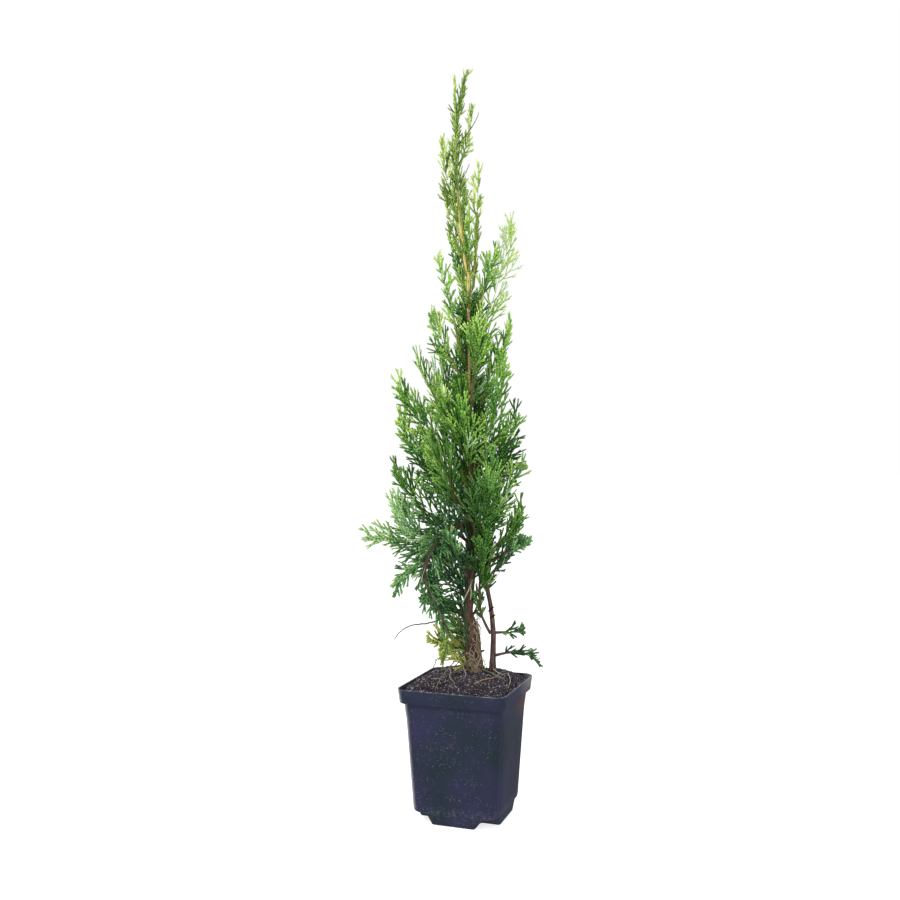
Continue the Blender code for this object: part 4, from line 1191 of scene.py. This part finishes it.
# Loose bits: the finish, the radii in mm at either end, how flat, and the points it bends through in the
# plant's own frame, in mm. Where the last point is less than 2 mm up, the bit lies on the peat.
looseBits = (
    ("paleRoot", (0.4, 0.25), 1, ((-15.3, 20, 0.3), (-13.3, 5.2, 0.4), (-13.7, -14, 0.3), (-8.6, -34, 0.2))),
    ("paleRoot", (0.45, 0.25), 1, ((-3.6, 4, 5), (-0.8, -4, 0.6), (-2.4, -15, 0.4))),
    ("paleRoot", (0.4, 0.2), 1, ((34, 6, 0.4), (35.4, -9.5, 0.8), (33.6, -22, 0.2))),
    ("paleRoot", (0.35, 0.2), 1, ((22, 8, 2), (27, 2, 0.6), (31, -3, 0.3), (29, -12, 0.2))),
    ("dryStem", (0.5, 0.3), 1, ((-4.1, 4, 15), (-13, -8, 8.5), (-20, -21, 2.5), (-25, -33, 0.4))),
    ("dryStem", (0.55, 0.35), 1,
        ((-4.1, 2, 13.5), (0.8, -5, 17.6), (5.7, -8, 14.6), (10.5, -8, 1), (11, -8, 0.3))),
    ("dryStem", (0.4, 0.25), 1, ((-6, 4, 9), (-12, 0, 5), (-22, 6, 2), (-30, 10, 0.3))),
    ("dryStem", (0.35, 0.2), 1, ((-1, 0, 8), (-7, -9, 4.5), (-14, -6, 1.4), (-20, -14, 0.3))),
    ("greyStraw", (1.1, 0.8), 3.2, ((10, 12, 1.1), (17, 2, 1.4), (28, -15, 0.8))),
    ("paleStraw", (0.9, 0.7), 2.6, ((6, -33, 0.6), (15, -24, 1.3), (22, -17, 1.0), (28, -15, 0.8))),
    ("greyStraw", (0.8, 0.5), 2.4, ((13, 4, 2.6), (20, -4, 2.0), (24, -14, 1.0))),
    ("darkTwig", (0.35, 0.2), 1, ((-28.7, 19, 0.2), (-26.1, 18, 6.4), (-28.6, 18, 10.7))),
    ("darkTwig", (0.35, 0.3), 1, ((-26.8, 18, 4.5), (-24.5, 18, 9), (-22, 17, 8))),
    ("greenTwig", (0.75, 0.35), 1,
        ((-14.7, -10, 49), (-29.2, -12, 44), (-46.3, -12, 41.2), (-55, -10, 35.5), (-59, -9, 29.5))),
    ("tanTwig", (0.8, 0.3), 1, ((9.5, -8, 94.4), (17.4, -10, 108), (18.6, -10, 113), (17.5, -10, 118))),
    ("tanTwig", (0.5, 0.3), 1, ((-4.6, 3, 22), (-6.8, 0, 27), (-5.4, -2, 33))),
    ("greenTwig", (0.5, 0.22), 1, ((-6.5, -3, 436), (2.1, -3, 446.7), (7.3, -3, 455), (9.9, -2, 462.1))),
    ("greenTwig", (0.45, 0.25), 1, ((-5.4, -2, 403), (-0.8, -3, 412.5), (2.1, -3, 419.1))),
    ("paleTwig", (0.6, 0.4), 1, ((4.4, -4, 78), (2.8, -13, 73.5), (-1, -16, 66), (-4, -16, 59.7))),
    ("paleTwig", (0.5, 0.35), 1, ((2.8, -13, 73.2), (3.6, -15, 68), (2.8, -16, 62.9))),
    ("paleTwig", (0.4, 0.2), 1, ((17.6, -4, 74), (22, -11, 78), (27, -13, 86), (30.8, -14, 96))),
    ("darkTwig", (1.0, 0.7), 1, ((12, 11, 16), (14.3, 9, 17.4))),
    ("darkTwig", (0.8, 0.55), 1, ((19.5, 8, 44), (23.6, 5, 47.5))),
    ("darkTwig", (0.8, 0.5), 1, ((18.2, 7, 50), (22.2, 4, 54.5))),
    ("darkTwig", (0.8, 0.5), 1, ((3.4, 6, 58), (6.8, 3, 61))),
)
looseColours = {
    "paleRoot": "#ddd6cc",
    "dryStem": "#93877a",
    "greyStraw": "#8a917a",
    "paleStraw": "#b0a070",
    "darkTwig": "#3b2a27",
    "greenTwig": "#4f6440",
    "tanTwig": "#b08a5c",
    "paleTwig": "#b9c2a4",
    "dryFibre": "#d6c8a8",
}
fibreTangle = {
    "count": 140,
    "seed": 31,
    "knots": 5,
    "radius": (0.24, 0.4),
    "centre": (4, 11),  # to the right and to the back of the plant's own middle
    "leastOut": 5.5,
    "mostOut": 11.5,
    "top": 44,
}


def groundAt(x, back):  # height of the peat above the soil's nominal top, in mm, in the plant's frame
    place = toWorld((x, back, 0))
    return (heapHeight(place[0], place[1]) - plant["soilTop"]) / mm


def threadRings(path, radii, sides, flat):  # rings of a thin round or flat strand
    tangents = np.gradient(path, axis=0)
    rings = []
    for centre, tangent, radius in zip(path, tangents, radii):
        tangent = unit(tangent)
        level = unit(np.cross(tangent, (0.05, 0.1, 1)))
        upward = np.cross(level, tangent)
        turns = [2 * math.pi * corner / sides for corner in range(sides)]
        ring = [centre + radius * (level * math.cos(turn) + upward * math.sin(turn) / flat) for turn in turns]
        rings.append(toWorld(ring))
    return rings


def looseMaterial(name):
    # Dead and dying shoots: dry, matt and fibrous, from grey straw to tan and dark brown.
    material, tree, shader = newMaterial(f"drySproutFibre_{name}", {
        "Roughness": 0.85, "Specular IOR Level": 0.2})
    place = addNode(tree, "TexCoord").outputs["Object"]
    mottle = addNode(tree, "TexNoise", {"Scale": 1 / (2.5 * mm), "Detail": 3.0, "Vector": place})
    shade = addNode(tree, "Mix", {
        "data_type": "RGBA", "blend_type": "MULTIPLY", "Factor": mottle, 6: looseColours[name], 7: "#8c8c8c"})
    setNode(tree, shader, {"Base Color": shade.outputs[2]})
    return material


def layBit(bm, radii, flat, points):
    lying = points[-1][2] < 2
    path = smoothPath(points, 1.6)
    path = path + np.array([(0, 0, noise.noise(Vector(point) / 4) * 0.5) for point in path])
    if lying:
        share = np.clip(1 - path[:, 2:] / 8, 0, 1)
        path[:, 2:] += share * np.array([[groundAt(x, back)] for x, back, _ in path])
        path[:, 2] = [max(z, groundAt(x, back) + radii[1]) for x, back, z in path]
    loft(bm, threadRings(path, np.linspace(*radii, len(path)), 7 if flat == 1 else 9, flat))


def layFibre(bm, draw):  # a dry fibre that winds round the trunk's foot
    turn, z = draw.uniform(0, 2 * math.pi), draw.uniform(0, 1) ** 1.6 * fibreTangle["top"]
    out = fibreTangle["leastOut"] + draw.random() * 1.5
    knots = []
    for _ in range(fibreTangle["knots"]):
        lean = np.interp(z, (0, 20, 60), (1, 0.9, 0.5))
        x = fibreTangle["centre"][0] + out * lean * math.cos(turn) * 1.15
        back = fibreTangle["centre"][1] + out * lean * math.sin(turn)
        knots.append((x, back, max(z, groundAt(x, back) + 0.5)))
        turn += draw.uniform(-0.5, 0.5)
        z += draw.uniform(-7, 6)
        out = min(fibreTangle["mostOut"], max(fibreTangle["leastOut"], out + draw.uniform(-0.8, 2.2)))
    path = smoothPath(knots, 1.8)
    radius = draw.uniform(*fibreTangle["radius"])
    loft(bm, threadRings(path, np.linspace(radius, radius * 0.5, len(path)), 5, 1))


def makeLooseBits():
    groups = {finish: bmesh.new() for finish in looseColours}
    for finish, radii, flat, points in looseBits:
        layBit(groups[finish], radii, flat, points)
    draw = random.Random(fibreTangle["seed"])
    for _ in range(fibreTangle["count"]):
        layFibre(groups["dryFibre"], draw)
    for finish, bm in groups.items():
        makePiece(f"loose_{finish}", bm, looseMaterial(finish))


makeLooseBits()
print("loose bits: roots, straws, stubs and dry fibres are laid")
